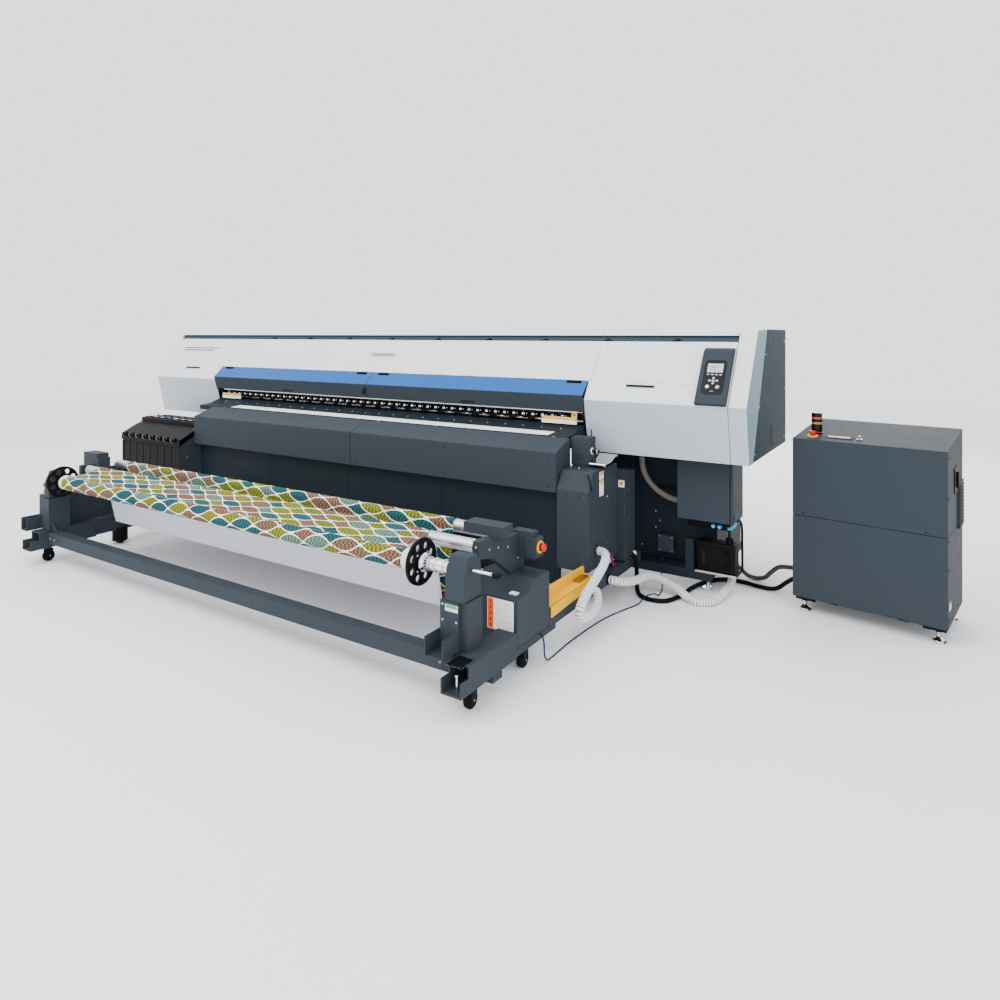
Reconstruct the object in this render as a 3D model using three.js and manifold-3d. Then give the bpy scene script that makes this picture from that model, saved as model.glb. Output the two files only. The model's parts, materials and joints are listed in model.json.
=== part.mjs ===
// Super-wide roll-to-roll textile printer: printer, take-up unit and control cabinet.
// Millimetres, +Z up, +X along the print width (operator's right), -Y towards the operator.
// Origin on the floor, at the middle of the three standing units.
import * as THREE from "three";
import { mergeVertices } from "three/addons/utils/BufferGeometryUtils.js";
import Module from "manifold-3d";

const wasm = await Module();
wasm.setup();

// ---- driving dimensions -------------------------------------------------------------------
const GAP = 0.3; // clearance kept between parts that touch
const SHEET = 10; // folded sheet-metal covers
const DEG = Math.PI / 180;

// Main housing, a sloped box carried across the whole printer
const HOUSING = { left: -3420, capStart: 2265, right: 2372, rear: 1460, floor: 881, roof: 1675 };
const FRONT_FOOT = [352, HOUSING.floor]; // lowest front edge, as y, z
const RIDGE = [280, 1223]; // the edge that stands furthest out
const ROOF_EDGE = [587, HOUSING.roof];
const SLOPE = (ROOF_EDGE[0] - RIDGE[0]) / (ROOF_EDGE[1] - RIDGE[1]);
const slopeY = (z) => RIDGE[0] + SLOPE * (z - RIDGE[1]);
const SEAM_Z = 1343; // upper cover meets the windows and end housings
const SLOT = { low: 1600, high: 1640, depth: 20 }; // long grip recess near the roof
const BAY = { left: -2480, right: 1346, middle: -554.5 }; // opening closed by the two windows

// Front apron, lower covers and the boxes at its right end
const APRON = { left: -2205, seam: -338, right: 1350, face: -125, low: 694, ridge: 935, top: 1000 };
const PLATEN = { left: -2420, right: 1330, front: 76, rear: 560, low: 965 };
const BEAM_TOP = 140; // top of the printer's base beams
const LEG_PANEL_Y = 760;

// Take-up unit
const FOOT = { inner: 1506, outer: 1616, front: -1460, low: 110, top: 230 };
const LEFT_FOOT = { inner: -2122, outer: -2240 };
const ROLL = { y: -1270, z: 580, radius: 50, left: -2025, right: 1205 };
const CORE_RADIUS = 42;
const SHAFT_RADIUS = 30;
const FLANGE_RADIUS = 110;
const FRONT_ROLLER = { y: -1070, z: 630, radius: 33 };
const REAR_ROLLER = { y: -850, z: 640, radius: 33 };
const DANCER = { y: -950, z: 262, radius: 18, left: -1950, right: 1180 };
const ROLLER_LEFT = -2112;
const ROLLER_RIGHT = 1438;
const WEB = { left: -1920, right: 1150, thickness: 2, clearance: 1 };
const WHEEL = { radius: 40, width: 30, frontY: -1314, rearY: -864, rearLeftY: -790 };

// Control cabinet, standing on its own and turned a little
const CABINET = { x: 2559.4, y: 618, turn: -8, width: 790, depth: 520, low: 90, front: 1030, back: 1100 };

// Hoses and cables, outer diameters
const HOSE = 50;
const CABLE = 28;
const CONDUIT = 30;
const NETWORK = 8;
const DRAIN_HOSE = 38;

// ---- finishes -----------------------------------------------------------------------------
const finish = (color, roughness, metalness) =>
  new THREE.MeshStandardMaterial({ color, roughness, metalness });
const LIGHT_GREY = finish(0xc9cdd0, 0.45, 0.1);
const TEAL_GREY = finish(0x6f858d, 0.5, 0.1);
const NAVY = finish(0x263e4c, 0.5, 0.2);
const SLATE = finish(0x4a525b, 0.55, 0.2);
const BLACK = finish(0x17191b, 0.5, 0.1);
const BLUE = finish(0x5a8abd, 0.35, 0.1);
const ALUMINIUM = finish(0xc4c6c8, 0.3, 0.9);
const STEEL = finish(0x8d9195, 0.35, 0.9);
const WHITE = finish(0xe8e8e6, 0.6, 0);
const RED = finish(0xd02c22, 0.4, 0);
const BEIGE = finish(0x8f8a86, 0.6, 0);
const NETWORK_BLUE = finish(0x1d2b5c, 0.5, 0);

// ---- helpers ------------------------------------------------------------------------------
/** A prism of a closed (y, z) outline, reaching from x0 to x1. */
function prism(outline, x0, x1) {
  const shape = new THREE.Shape(outline.map(([y, z]) => new THREE.Vector2(y, z)));
  const solid = new THREE.ExtrudeGeometry(shape, { depth: x1 - x0, bevelEnabled: false });
  const turn = new THREE.Matrix4().makeBasis(
    new THREE.Vector3(0, 1, 0),
    new THREE.Vector3(0, 0, 1),
    new THREE.Vector3(1, 0, 0),
  );
  return solid.applyMatrix4(turn).translate(x0, 0, 0);
}

/** A block between two opposite corners. */
function block([x0, y0, z0], [x1, y1, z1]) {
  const solid = new THREE.BoxGeometry(x1 - x0, y1 - y0, z1 - z0);
  return solid.translate((x0 + x1) / 2, (y0 + y1) / 2, (z0 + z1) / 2);
}

/** A solid of revolution about the X direction through (y, z), from [radius, x] points. */
function turned(profile, y, z, sides = 24) {
  const points = profile.map(([radius, x]) => new THREE.Vector2(radius, x));
  return new THREE.LatheGeometry(points, sides).rotateZ(-Math.PI / 2).translate(0, y, z);
}

/** A solid round bar along X. */
function bar(x0, x1, y, z, radius, sides = 24) {
  return turned([[0, x0], [radius, x0], [radius, x1], [0, x1]], y, z, sides);
}

/** A vertical round bar. */
function post(x, y, z0, z1, radius, sides = 16) {
  const solid = new THREE.CylinderGeometry(radius, radius, z1 - z0, sides).rotateX(Math.PI / 2);
  return solid.translate(x, y, (z0 + z1) / 2);
}

/** Closed outline of a folded sheet that follows (y, z) points, thickened to its right. */
function sheet(points, thickness = SHEET) {
  const path = points.map(([y, z]) => new THREE.Vector2(y, z));
  const normals = path.slice(1).map((p, i) => {
    const along = p.clone().sub(path[i]).normalize();
    return new THREE.Vector2(along.y, -along.x);
  });
  const inner = path.map((p, i) => {
    const before = normals[Math.max(i - 1, 0)];
    const after = normals[Math.min(i, normals.length - 1)];
    const mitre = before.clone().add(after).normalize();
    return p.clone().addScaledVector(mitre, thickness / mitre.dot(before));
  });
  return [...path, ...inner.reverse()].map((p) => [p.x, p.y]);
}

/** A geometry as a boolean solid. */
function toSolid(geometry) {
  const bare = geometry.clone();
  bare.deleteAttribute("normal");
  bare.deleteAttribute("uv");
  const merged = mergeVertices(bare);
  return new wasm.Manifold(
    new wasm.Mesh({
      numProp: 3,
      vertProperties: new Float32Array(merged.attributes.position.array),
      triVerts: new Uint32Array(merged.index.array),
    }),
  );
}

/** A boolean solid as a geometry. */
function toGeometry(solid) {
  const mesh = solid.getMesh();
  const geometry = new THREE.BufferGeometry();
  geometry.setAttribute("position", new THREE.BufferAttribute(mesh.vertProperties, 3));
  geometry.setIndex(new THREE.BufferAttribute(mesh.triVerts, 1));
  geometry.computeVertexNormals();
  return geometry;
}

const join = (...parts) => toGeometry(parts.map(toSolid).reduce((sum, part) => sum.add(part)));
const cut = (base, ...tools) =>
  toGeometry(tools.map(toSolid).reduce((rest, tool) => rest.subtract(tool), toSolid(base)));

/** A curve that follows another one and never comes nearer to the floor than a given height. */
class LyingCurve extends THREE.Curve {
  constructor(route, lowest) {
    super();
    this.route = route;
    this.lowest = lowest;
  }

  getPoint(t, target = new THREE.Vector3()) {
    this.route.getPoint(t, target);
    target.z = Math.max(target.z, this.lowest);
    return target;
  }
}

/** A round tube along a smooth curve through points. */
function tube(points, diameter, steps, sides = 8) {
  const route = new THREE.CatmullRomCurve3(points.map((p) => new THREE.Vector3(...p)), false, "centripetal");
  const curve = new LyingCurve(route, diameter / 2 + GAP);
  const section = new THREE.Shape(
    Array.from({ length: sides }, (_, i) => {
      const angle = (2 * Math.PI * i) / sides;
      return new THREE.Vector2((Math.cos(angle) * diameter) / 2, (Math.sin(angle) * diameter) / 2);
    }),
  );
  return new THREE.ExtrudeGeometry(section, { steps, extrudePath: curve, bevelEnabled: false });
}

const machine = new THREE.Group();

/** Names a geometry, gives it its finish and hangs it in a group. */
function add(name, geometry, material, parent = machine) {
  const mesh = new THREE.Mesh(geometry, material);
  mesh.name = name;
  parent.add(mesh);
  return mesh;
}

// ---- main housing -------------------------------------------------------------------------
{
  const { left, capStart, right, rear, floor, roof } = HOUSING;
  const inside = left + 12;
  const beforeCap = capStart - 3;
  add("housing_rear_wall", block([inside, rear - 12, floor + 9], [beforeCap, rear, roof - 12]), LIGHT_GREY);
  add("housing_floor", block([inside, FRONT_FOOT[0] + 14, floor], [beforeCap, rear - 14, floor + 6]), SLATE);

  const slotBack = (z) => slopeY(z) + SLOT.depth;
  const cover = [
    [slopeY(SEAM_Z), SEAM_Z],
    [slopeY(SLOT.low), SLOT.low],
    [slotBack(SLOT.low), SLOT.low],
    [slotBack(SLOT.high), SLOT.high],
    [slopeY(SLOT.high), SLOT.high],
    ROOF_EDGE,
    [rear - 2, roof + 5],
  ];
  add("upper_cover", prism(sheet(cover, 8), inside, beforeCap), LIGHT_GREY);

  const lowSeam = SEAM_Z - 1;
  const face = sheet([FRONT_FOOT, RIDGE, [slopeY(lowSeam), lowSeam]]);
  add("left_front_housing", prism(face, inside, BAY.left), LIGHT_GREY);
  add("right_front_housing", prism(face, BAY.right, beforeCap), LIGHT_GREY);

  const profile = [FRONT_FOOT, RIDGE, ROOF_EDGE, [rear, roof + 5], [rear, floor]];
  add("left_end_panel", prism(profile.toReversed(), left, inside - GAP), LIGHT_GREY);
  const splitTop = [834, roof + 5];
  const splitLow = [443, floor];
  add(
    "right_end_cap",
    prism([FRONT_FOOT, RIDGE, ROOF_EDGE, splitTop, splitLow].toReversed(), capStart, right),
    TEAL_GREY,
  );
  const dark = [[splitLow[0] + 1, floor], [splitTop[0] + 1, splitTop[1]], [rear, roof + 5], [rear, floor]];
  add("right_side_panel", prism(dark.toReversed(), capStart, right - 4), NAVY);
}

// ---- carriage, platen and rollers ---------------------------------------------------------
{
  const beamFront = 900;
  add(
    "carriage_beam",
    block([HOUSING.left + 13, beamFront, 1150], [HOUSING.capStart - GAP, beamFront + 160, 1330]),
    ALUMINIUM,
  );
  const carriage = [[570, 1062], [540, 1090], [540, 1230], [600, 1300], [898, 1300], [898, 1062]];
  add("print_carriage", prism(carriage.toReversed(), 1480, 2180), BLACK);
  const { left, right, front, rear, low } = PLATEN;
  const table = [[front, low], [front, 1003], [180, 1012], [285, 1050], [rear, 1052], [rear, low]];
  add("platen", prism(table.toReversed(), left, right), SLATE);

  const shaft = { y: 330, z: 1072, bare: 9, roller: 18, count: 24, length: 60 };
  const first = -2340;
  const pitch = (1250 - first) / (shaft.count - 1);
  const profile = [[0, first - 60], [shaft.bare, first - 60]];
  for (let i = 0; i < shaft.count; i++) {
    const start = first + i * pitch - shaft.length / 2;
    const end = start + shaft.length;
    profile.push([shaft.bare, start], [shaft.roller, start], [shaft.roller, end], [shaft.bare, end]);
  }
  profile.push([shaft.bare, 1320], [0, 1320]);
  add("pinch_rollers", turned(profile, shaft.y, shaft.z, 8), BLACK);
}

// ---- windows ------------------------------------------------------------------------------
{
  const top = SEAM_Z - 3;
  const pane = sheet([[290, 1140], [262, 1250], [slopeY(top) - 2, top]], 6);
  add("window_left", prism(pane, BAY.left + 3, BAY.middle - 1.5), BLUE);
  add("window_right", prism(pane, BAY.middle + 1.5, BAY.right - 3), BLUE);
}

// ---- apron and lower covers ---------------------------------------------------------------
{
  const { left, seam, right, face, low, ridge, top } = APRON;
  const apron = sheet([[face, low], [face, ridge], [60, top], [74, top]], 12);
  add("apron_left", prism(apron, left, seam - 1.5), SLATE);
  add("apron_right", prism(apron, seam + 1.5, right), SLATE);
  add("lower_cover", block([left, -60, 120], [right, -40, 800]), SLATE);

  const chest = [[face, 250], [face, 720], [-60, 830], [300, 830], [300, 250]];
  add("end_cover", prism(chest.toReversed(), right + 12, 1570), SLATE);
  const duct = [[310, 210], [310, 730], [390, 770], [480, 770], [480, 210]];
  add("duct_column", prism(duct.toReversed(), 1400, 1620), SLATE);
  const pressed = [[67, 842], [55, 850], [55, 862], [147, 868], [227, 900], [235, 892], [167, 842]];
  add("pressure_lever", prism(pressed.toReversed(), 1486, 1598), STEEL);
}

// ---- legs, boxes under the housing --------------------------------------------------------
/** A welded leg: back panel, side web, base beams and screw feet, for one end of the printer. */
function leg(inner, outer) {
  const [x0, x1] = inner < outer ? [inner, outer] : [outer, inner];
  const web = inner < outer ? [outer - 12, outer] : [outer, outer + 12];
  const foot = inner < outer ? outer - 40 : outer + 40;
  const roof = HOUSING.floor - GAP;
  return [
    block([x0, LEG_PANEL_Y, 80], [x1, LEG_PANEL_Y + 12, roof]),
    block([web[0], LEG_PANEL_Y + 6, 80], [web[1], 1380, roof]),
    block([x0, 600, 80], [x1, LEG_PANEL_Y + 6, BEAM_TOP]),
    block([foot - 40, LEG_PANEL_Y, 80], [foot + 40, 1400, BEAM_TOP]),
    post(foot, 690, 10, 90, 12),
    post(foot, 690, 0, 14, 36),
    post(foot, 1350, 10, 90, 12),
    post(foot, 1350, 0, 14, 36),
  ];
}
{
  const inner = 1500;
  const outer = 2075;
  const upright = block([1914, 600, BEAM_TOP - 4], [1967, 650, 335]);
  const shelf = block([1975, 604, BEAM_TOP - 8], [2240, 740, BEAM_TOP]);
  add("right_leg_frame", join(...leg(inner, outer), upright, shelf), SLATE);
  add("left_leg_frame", join(...leg(-2560, -3180)), SLATE);
  add("electrical_box", block([1893, 500, 485], [2241, 750, HOUSING.floor - GAP]), SLATE);
  const tank = [[612, 141], [604, 150], [604, 322], [612, 331], [700, 331], [700, 141]];
  add("waste_tank", prism(tank.toReversed(), 1990, 2228), BLACK);
}

// ---- ink supply ---------------------------------------------------------------------------
{
  const left = -3120;
  const right = -2225;
  const low = 150;
  const front = -240;
  const unit = [[front, low], [front, 685], [-62, 782], [-62, 862], [190, 862], [190, low]];
  add("ink_unit", prism(unit.toReversed(), left, right), SLATE);
  const hood = sheet([[front - 14, 677], [front - 14, 735], [-74, 822], [-64, 822]], 8);
  add("ink_hood", prism(hood, left - 3, right + 3), BLACK);
}

// ---- control panel ------------------------------------------------------------------------
{
  const onFace = (z, out) => [slopeY(z) - GAP - 0.827 * out, z + 0.562 * out];
  const pod = [onFace(RIDGE[1] + 1, 0), onFace(RIDGE[1] + 1, 30), onFace(1532, 30), onFace(1566, 0)];
  add("control_panel", prism(pod.toReversed(), 2072, 2258), SLATE);
}

// ---- take-up frame ------------------------------------------------------------------------
{
  const { inner, outer, front, low, top } = FOOT;
  const cover = { front: -1002, rear: -682, left: 1310 };
  const lip = 60;
  const wall = 8;
  const stem = (x, y) => block([x - 16, y - 16, 2 * WHEEL.radius + 2], [x + 16, y + 16, low + 6]);
  const channel = (x0, x1) =>
    cut(
      join(
        block([x0, front, low], [x1, front + lip, low + 68]),
        block([x0, front + lip, low], [x1, cover.front - 1, top]),
      ),
      block([x0 + wall, front - 10, low + wall], [x1 - wall, front + 180, top - wall]),
    );
  const wheelX = (inner + outer) / 2;
  add(
    "rail_right",
    join(
      channel(inner, outer),
      block([1530, -1190, 62], [1600, -1110, low + 6]),
      block([1540, cover.front - 6, low + 2], [1610, cover.rear + 80, 150]),
      block([1540, cover.rear + 2, BEAM_TOP], [outer, -130, 245]),
      block([1540, -136, BEAM_TOP], [outer, 599, 205]),
      stem(wheelX, WHEEL.frontY),
      stem(wheelX, WHEEL.rearY),
    ),
    SLATE,
  );
  const leftX = (LEFT_FOOT.inner + LEFT_FOOT.outer) / 2;
  add(
    "rail_left",
    join(
      channel(LEFT_FOOT.outer, LEFT_FOOT.inner),
      block([-2225, cover.front - 6, low + 2], [-2150, -62, 225]),
      stem(leftX, WHEEL.frontY),
      stem(leftX, WHEEL.rearLeftY),
    ),
    SLATE,
  );
  add("cross_beam", block([LEFT_FOOT.inner + GAP, -1345, 140], [inner - GAP, -1265, 220]), SLATE);

  const wheel = (x) => {
    const { radius, width } = WHEEL;
    const half = width / 2;
    return [[0, x - half], [radius - 4, x - half], [radius, x - half + 5], [radius, x + half - 5],
      [radius - 4, x + half], [0, x + half]];
  };
  const casters = [["right", wheelX], ["left", leftX]].flatMap(([side, x]) => [
    [`caster_front_${side}`, x, WHEEL.frontY],
    [`caster_rear_${side}`, x, side === "left" ? WHEEL.rearLeftY : WHEEL.rearY],
  ]);
  for (const [name, x, y] of casters) {
    add(name, turned(wheel(x), y, WHEEL.radius, 32), BLACK);
  }

  const socket = (x0, x1) =>
    cut(
      block([x0, -1433, 232], [x1, -1316, 322]),
      block([x0 + 6, -1450, 240], [x1 - 6, -1326, 340]),
    );
  add(
    "column_right",
    join(
      socket(1396, 1500),
      block([1398, -1320, 221], [1500, -1180, 449]),
      block([1496, -1300, top + GAP], [1537, -1180, 449]),
    ),
    SLATE,
  );
  add(
    "side_plate_left",
    join(
      socket(-2322, -2239),
      block([-2300, -1322, top + GAP], [-2215, -1200, 470]),
      block([-2225, -1338, top + GAP], [-2203, -700, 460]),
      block([-2225, -1338, top + GAP], [-2126, -1190, 459]),
    ),
    SLATE,
  );

  const shroud = [[cover.front, 155], [cover.front, 385], [-896, 387], [-834, 440], [cover.rear, 435],
    [cover.rear, 155]];
  add("motor_cover", prism(shroud.toReversed(), cover.left, outer), SLATE);

  const head = [[-1320, 450], [-1320, 556], [-1282, 648], [-1215, 648], [-1180, 600], [-1180, 450]];
  add("shaft_block_right", prism(head.toReversed(), 1424, 1530), SLATE);
  const tail = [[-1330, 460.5], [-1340, 560], [-1300, 655], [-1225, 655], [-1200, 600], [-1192, 460.5]];
  add("shaft_block_left", prism(tail.toReversed(), -2198, -2136), SLATE);
  const handle = [[0, 1533.5], [9, 1533.5], [9, 1552], [8, 1554], [8, 1640], [14, 1650], [15, 1668],
    [11, 1688], [0, 1692]];
  add("lock_lever", turned(handle, ROLL.y + 4, 589, 16), ALUMINIUM);
}

// ---- take-up roll, guide rollers and web --------------------------------------------------
{
  const { y, z, radius, left, right } = ROLL;
  const roll = [[0, -2134], [SHAFT_RADIUS, -2134], [SHAFT_RADIUS, left - 22], [CORE_RADIUS, left - 22],
    [CORE_RADIUS, left], [radius, left], [radius, right], [CORE_RADIUS, right], [CORE_RADIUS, right + 20],
    [SHAFT_RADIUS, right + 20], [SHAFT_RADIUS, 1422], [0, 1422]];
  add("takeup_roll", turned(roll, y, z, 32), WHITE);

  const flange = (x) => {
    const hub = SHAFT_RADIUS + 0.5;
    const ring = [[hub, x - 18], [46, x - 18], [46, x - 7], [FLANGE_RADIUS, x - 7], [FLANGE_RADIUS, x + 7],
      [46, x + 7], [46, x + 18], [hub, x + 18], [hub, x - 18]];
    const holes = Array.from({ length: 8 }, (_, i) => {
      const angle = (i + 0.5) * 45 * DEG;
      return bar(x - 20, x + 20, y + 76 * Math.cos(angle), z + 76 * Math.sin(angle), 19, 12);
    });
    return cut(turned(ring, y, z, 32), ...holes);
  };
  add("flange_right", flange(1250), BLACK);
  add("flange_left", flange(-2070), BLACK);

  const roller = ({ y: cy, z: cz, radius: r }) =>
    turned([[0, ROLLER_LEFT], [12, ROLLER_LEFT], [12, ROLLER_LEFT + 14], [r, ROLLER_LEFT + 14],
      [r, ROLLER_RIGHT - 14], [12, ROLLER_RIGHT - 14], [12, ROLLER_RIGHT], [0, ROLLER_RIGHT]], cy, cz, 32);
  add("guide_roller_front", roller(FRONT_ROLLER), ALUMINIUM);
  add("guide_roller_rear", roller(REAR_ROLLER), ALUMINIUM);
  add("dancer_bar", bar(DANCER.left, DANCER.right, DANCER.y, DANCER.z, DANCER.radius), BLACK);

  const arm = (x0, x1, low) => {
    const side = [[-1120, 585], [-1120, 668], [-1020, 668], [-990, 628], [-700, 628], [-700, low], [-830, low],
      [-1000, 560]];
    return prism(side.toReversed(), x0, x1);
  };
  add(
    "roller_bracket_right",
    join(
      arm(ROLLER_RIGHT + 1, 1475, 441),
      block([1293, -990, 662], [1522, -890, 712]),
      block([1440, -992, 620], [1475, -888, 670]),
      block([1440, -760, 500], [1560, -700, 640]),
      block([1520, -768, 515], [1586, -692, 612]),
    ),
    SLATE,
  );
  add(
    "roller_bracket_left",
    join(
      arm(-2145, ROLLER_LEFT - 1, 500),
      block([-2202, -1000, 461], [-2125, -720, 560]),
      block([-2333, -990, 632], [-2140, -900, 733]),
      block([-2145, -990, 600], [-2118, -900, 700]),
    ),
    SLATE,
  );
  const button = [[0, 1593], [14, 1593], [14, 1602], [20, 1602], [20, 1614], [12, 1620], [0, 1620]];
  add("stop_button", turned(button, -730, 565, 20), RED);

  /** Straight runs and arcs of the web round its rollers, as centre-line (y, z) points. */
  const wraps = [
    { ...REAR_ROLLER, side: 1 },
    { ...DANCER, side: -1 },
    { ...FRONT_ROLLER, side: 1 },
    { ...ROLL, side: 1 },
  ].map((c) => ({ ...c, radius: c.radius + WEB.clearance + WEB.thickness / 2 }));
  const start = { y: -64, z: 330, radius: 0, side: 1 };
  const heading = (from, to) => {
    const across = to.side * to.radius - from.side * from.radius;
    const away = Math.hypot(to.y - from.y, to.z - from.z);
    return Math.atan2(to.z - from.z, to.y - from.y) - Math.asin(across / away);
  };
  const line = [[start.y, start.z]];
  wraps.forEach((circle, i) => {
    const arrive = heading(i === 0 ? start : wraps[i - 1], circle) - (circle.side * Math.PI) / 2;
    const last = i === wraps.length - 1;
    let leave = last ? arrive + 10 * DEG : heading(circle, wraps[i + 1]) - (circle.side * Math.PI) / 2;
    while (circle.side * (leave - arrive) < 0) leave += circle.side * 2 * Math.PI;
    const steps = Math.max(1, Math.round(Math.abs(leave - arrive) / (20 * DEG)));
    for (let k = 0; k <= steps; k++) {
      const angle = arrive + ((leave - arrive) * k) / steps;
      line.push([circle.y + circle.radius * Math.cos(angle), circle.z + circle.radius * Math.sin(angle)]);
    }
  });
  add("fabric_web", prism(sheet(line.toReversed(), WEB.thickness / 2), WEB.left, WEB.right), WHITE);
}

// ---- control cabinet ----------------------------------------------------------------------
{
  const { x, y, turn, width, depth, low, front, back } = CABINET;
  const cabinet = new THREE.Group();
  cabinet.position.set(x, y, 0);
  cabinet.rotation.z = turn * DEG;
  machine.add(cabinet);

  const inset = 50;
  const feet = [[inset, inset + 20], [width - inset, inset + 20], [inset, depth - inset],
    [width - inset, depth - inset]];
  const body = [[0, low], [0, front], [depth, back], [depth, low]];
  const screwFeet = feet.flatMap(([fx, fy]) => [
    post(fx, fy, 10, low + 4, 10),
    post(fx, fy, 0, 12, 34),
  ]);
  const vent = block([width - 2, 330, 560], [width + 13, 470, 820]);
  add("cabinet_body", join(prism(body.toReversed(), 0, width), ...screwFeet, vent), SLATE, cabinet);

  const topAt = (fy) => front + ((back - front) * fy) / depth;
  const tower = { x: 95, y: 150 };
  const mast = [[0, 0], [30, 0], [30, 112], [26, 118], [0, 118]];
  const lathe = (profile) =>
    new THREE.LatheGeometry(profile.map(([r, h]) => new THREE.Vector2(r, h)), 20).rotateX(Math.PI / 2);
  const slopeLift = 6; // clears the sloping lid under a round base
  const signal = add("signal_tower", lathe(mast), BLACK, cabinet);
  signal.position.set(tower.x, tower.y, topAt(tower.y) + slopeLift);
  const stop = add("cabinet_stop_button", lathe([[0, 0], [12, 0], [12, 12], [20, 12], [20, 24], [0, 26]]), RED, cabinet);
  stop.position.set(92, 75, topAt(75) + slopeLift + 3);
  const breaker = add("breaker_handle", block([0, -9, -45], [11, 9, 45]), BLACK, cabinet);
  breaker.position.set(width + 6, 260, 846);
}

// ---- hoses and cables ---------------------------------------------------------------------
add(
  "hose_front",
  tube([[1570.8, -8, 356], [1582, -8, 356], [1594, -8, 356], [1628, -20, 350], [1654, -70, 330],
    [1674, -180, 302], [1686, -330, 262], [1692, -440, 226], [1694, -492, 184], [1692, -480, 146],
    [1688, -410, 118], [1682, -320, 112], [1672, -232, 126], [1658, -184, 158], [1640, -168, 176],
    [1628, -168, 176], [1616.8, -168, 176]], HOSE, 44, 10),
  WHITE,
);
add(
  "hose_rear",
  tube([[1616.8, 60, 172], [1630, 60, 172], [1644, 60, 172], [1690, 96, 160], [1715, 240, 130],
    [1728, 380, 116], [1760, 462, 98], [1830, 470, 76], [1910, 436, 62], [1985, 396, 40], [2060, 376, 25.5],
    [2128, 420, 25], [2152, 520, 25], [2156, 640, 26], [2156, 770, 30], [2148, 860, 62], [2124, 900, 92],
    [2100, 908, 104], [2088, 908, 106], [2075.8, 908, 106]], HOSE, 48, 10),
  WHITE,
);
add(
  "power_cable",
  tube([[1620.6, 400, 236], [1628, 400, 236], [1636, 400, 234], [1658, 396, 200], [1668, 388, 120],
    [1676, 370, 50], [1700, 336, 18], [1744, 300, 14.5], [1810, 284, 14.5], [1880, 310, 14.5],
    [1922, 400, 14.5], [1942, 520, 14.5], [1956, 640, 14.5], [1984, 750, 14.5], [2040, 850, 14.5],
    [2120, 905, 14.5], [2210, 905, 14.5], [2300, 882, 14.5], [2360, 872, 14.5], [2420, 876, 24],
    [2474, 890, 66], [2524, 901, 102], [2560, 900.2, 115], [2578, 897.7, 116], [2596, 895.2, 116]],
    CABLE, 60, 8),
  BLACK,
);
add(
  "control_conduit",
  tube([[2075.8, 1010, 112], [2088, 1010, 112], [2100, 1010, 110], [2150, 1014, 74], [2210, 1022, 26],
    [2270, 1030, 15.5], [2320, 1020, 34], [2360, 1006, 78], [2410, 992, 124], [2480, 984, 138],
    [2540, 977, 139], [2571, 971.2, 139], [2588, 968.8, 139], [2605, 966.4, 139]], CONDUIT, 40, 8),
  SLATE,
);
add(
  "network_cable",
  tube([[1616.6, -790, 150], [1622, -790, 150], [1628, -790, 149], [1640, -788, 120], [1642, -780, 40],
    [1640, -740, 6], [1638, -660, 4.3], [1636, -540, 4.3], [1640, -400, 4.3], [1650, -250, 4.3],
    [1668, -100, 4.3], [1700, 30, 4.3], [1738, 150, 4.3], [1756, 200, 10],
    [1774, 250, 37], [1792, 300, 40], [1802, 350, 30], [1806, 400, 6], [1794, 500, 4.3], [1772, 570, 6],
    [1764, 586, 60], [1760, 590, 130],
    [1758, 620, 178], [1758, 700, 190], [1758, 740, 190], [1758, 759.4, 190]], NETWORK, 78, 8),
  NETWORK_BLUE,
);
add(
  "drain_hose",
  tube([[1606, 640, 880.4], [1606, 640, 868], [1606, 640, 852], [1612, 640, 760], [1640, 640, 690],
    [1700, 640, 625], [1780, 640, 580], [1850, 640, 562], [1870, 640, 561], [1880, 640, 561],
    [1892.4, 640, 561]], DRAIN_HOSE, 20, 8),
  BEIGE,
);

export default machine;
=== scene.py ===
"""Super-wide roll-to-roll textile printer, dressed round its fixed frame.

The frame gives the bodies, joints and plain solids. This script gives every visible surface its
finish and adds the small pieces: seams, screws, hinges, handles, keys, labels, hoses and the
printed cloth. All lengths are metres.
"""

import json
import logging
import math
import random
from collections.abc import Callable, Iterable, Sequence
from dataclasses import dataclass, field
from enum import Enum

import bmesh
import bpy
from mathutils import Matrix, Vector, noise

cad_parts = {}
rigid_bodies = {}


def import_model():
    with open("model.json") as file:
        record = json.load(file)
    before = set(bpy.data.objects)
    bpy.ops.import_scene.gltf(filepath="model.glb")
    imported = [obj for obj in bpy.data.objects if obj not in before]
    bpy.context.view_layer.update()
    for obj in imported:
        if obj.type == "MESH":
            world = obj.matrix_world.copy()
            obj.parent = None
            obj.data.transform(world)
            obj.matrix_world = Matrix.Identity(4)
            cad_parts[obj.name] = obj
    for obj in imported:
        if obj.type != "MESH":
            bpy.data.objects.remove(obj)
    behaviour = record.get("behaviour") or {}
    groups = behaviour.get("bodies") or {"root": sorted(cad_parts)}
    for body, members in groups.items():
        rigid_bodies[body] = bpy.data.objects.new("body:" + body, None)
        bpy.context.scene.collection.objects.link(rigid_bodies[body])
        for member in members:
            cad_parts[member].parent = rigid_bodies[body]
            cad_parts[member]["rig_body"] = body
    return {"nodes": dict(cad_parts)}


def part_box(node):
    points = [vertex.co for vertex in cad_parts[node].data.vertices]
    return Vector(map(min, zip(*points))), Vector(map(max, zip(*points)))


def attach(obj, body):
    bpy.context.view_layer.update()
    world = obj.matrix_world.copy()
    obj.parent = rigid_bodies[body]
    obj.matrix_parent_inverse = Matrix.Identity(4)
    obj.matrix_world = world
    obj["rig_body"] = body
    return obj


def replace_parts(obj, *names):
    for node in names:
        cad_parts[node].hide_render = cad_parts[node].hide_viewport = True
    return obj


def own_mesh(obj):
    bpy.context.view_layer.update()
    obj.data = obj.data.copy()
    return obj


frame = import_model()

LOG = logging.getLogger("textile_printer")
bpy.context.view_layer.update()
MM = 0.001

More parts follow.
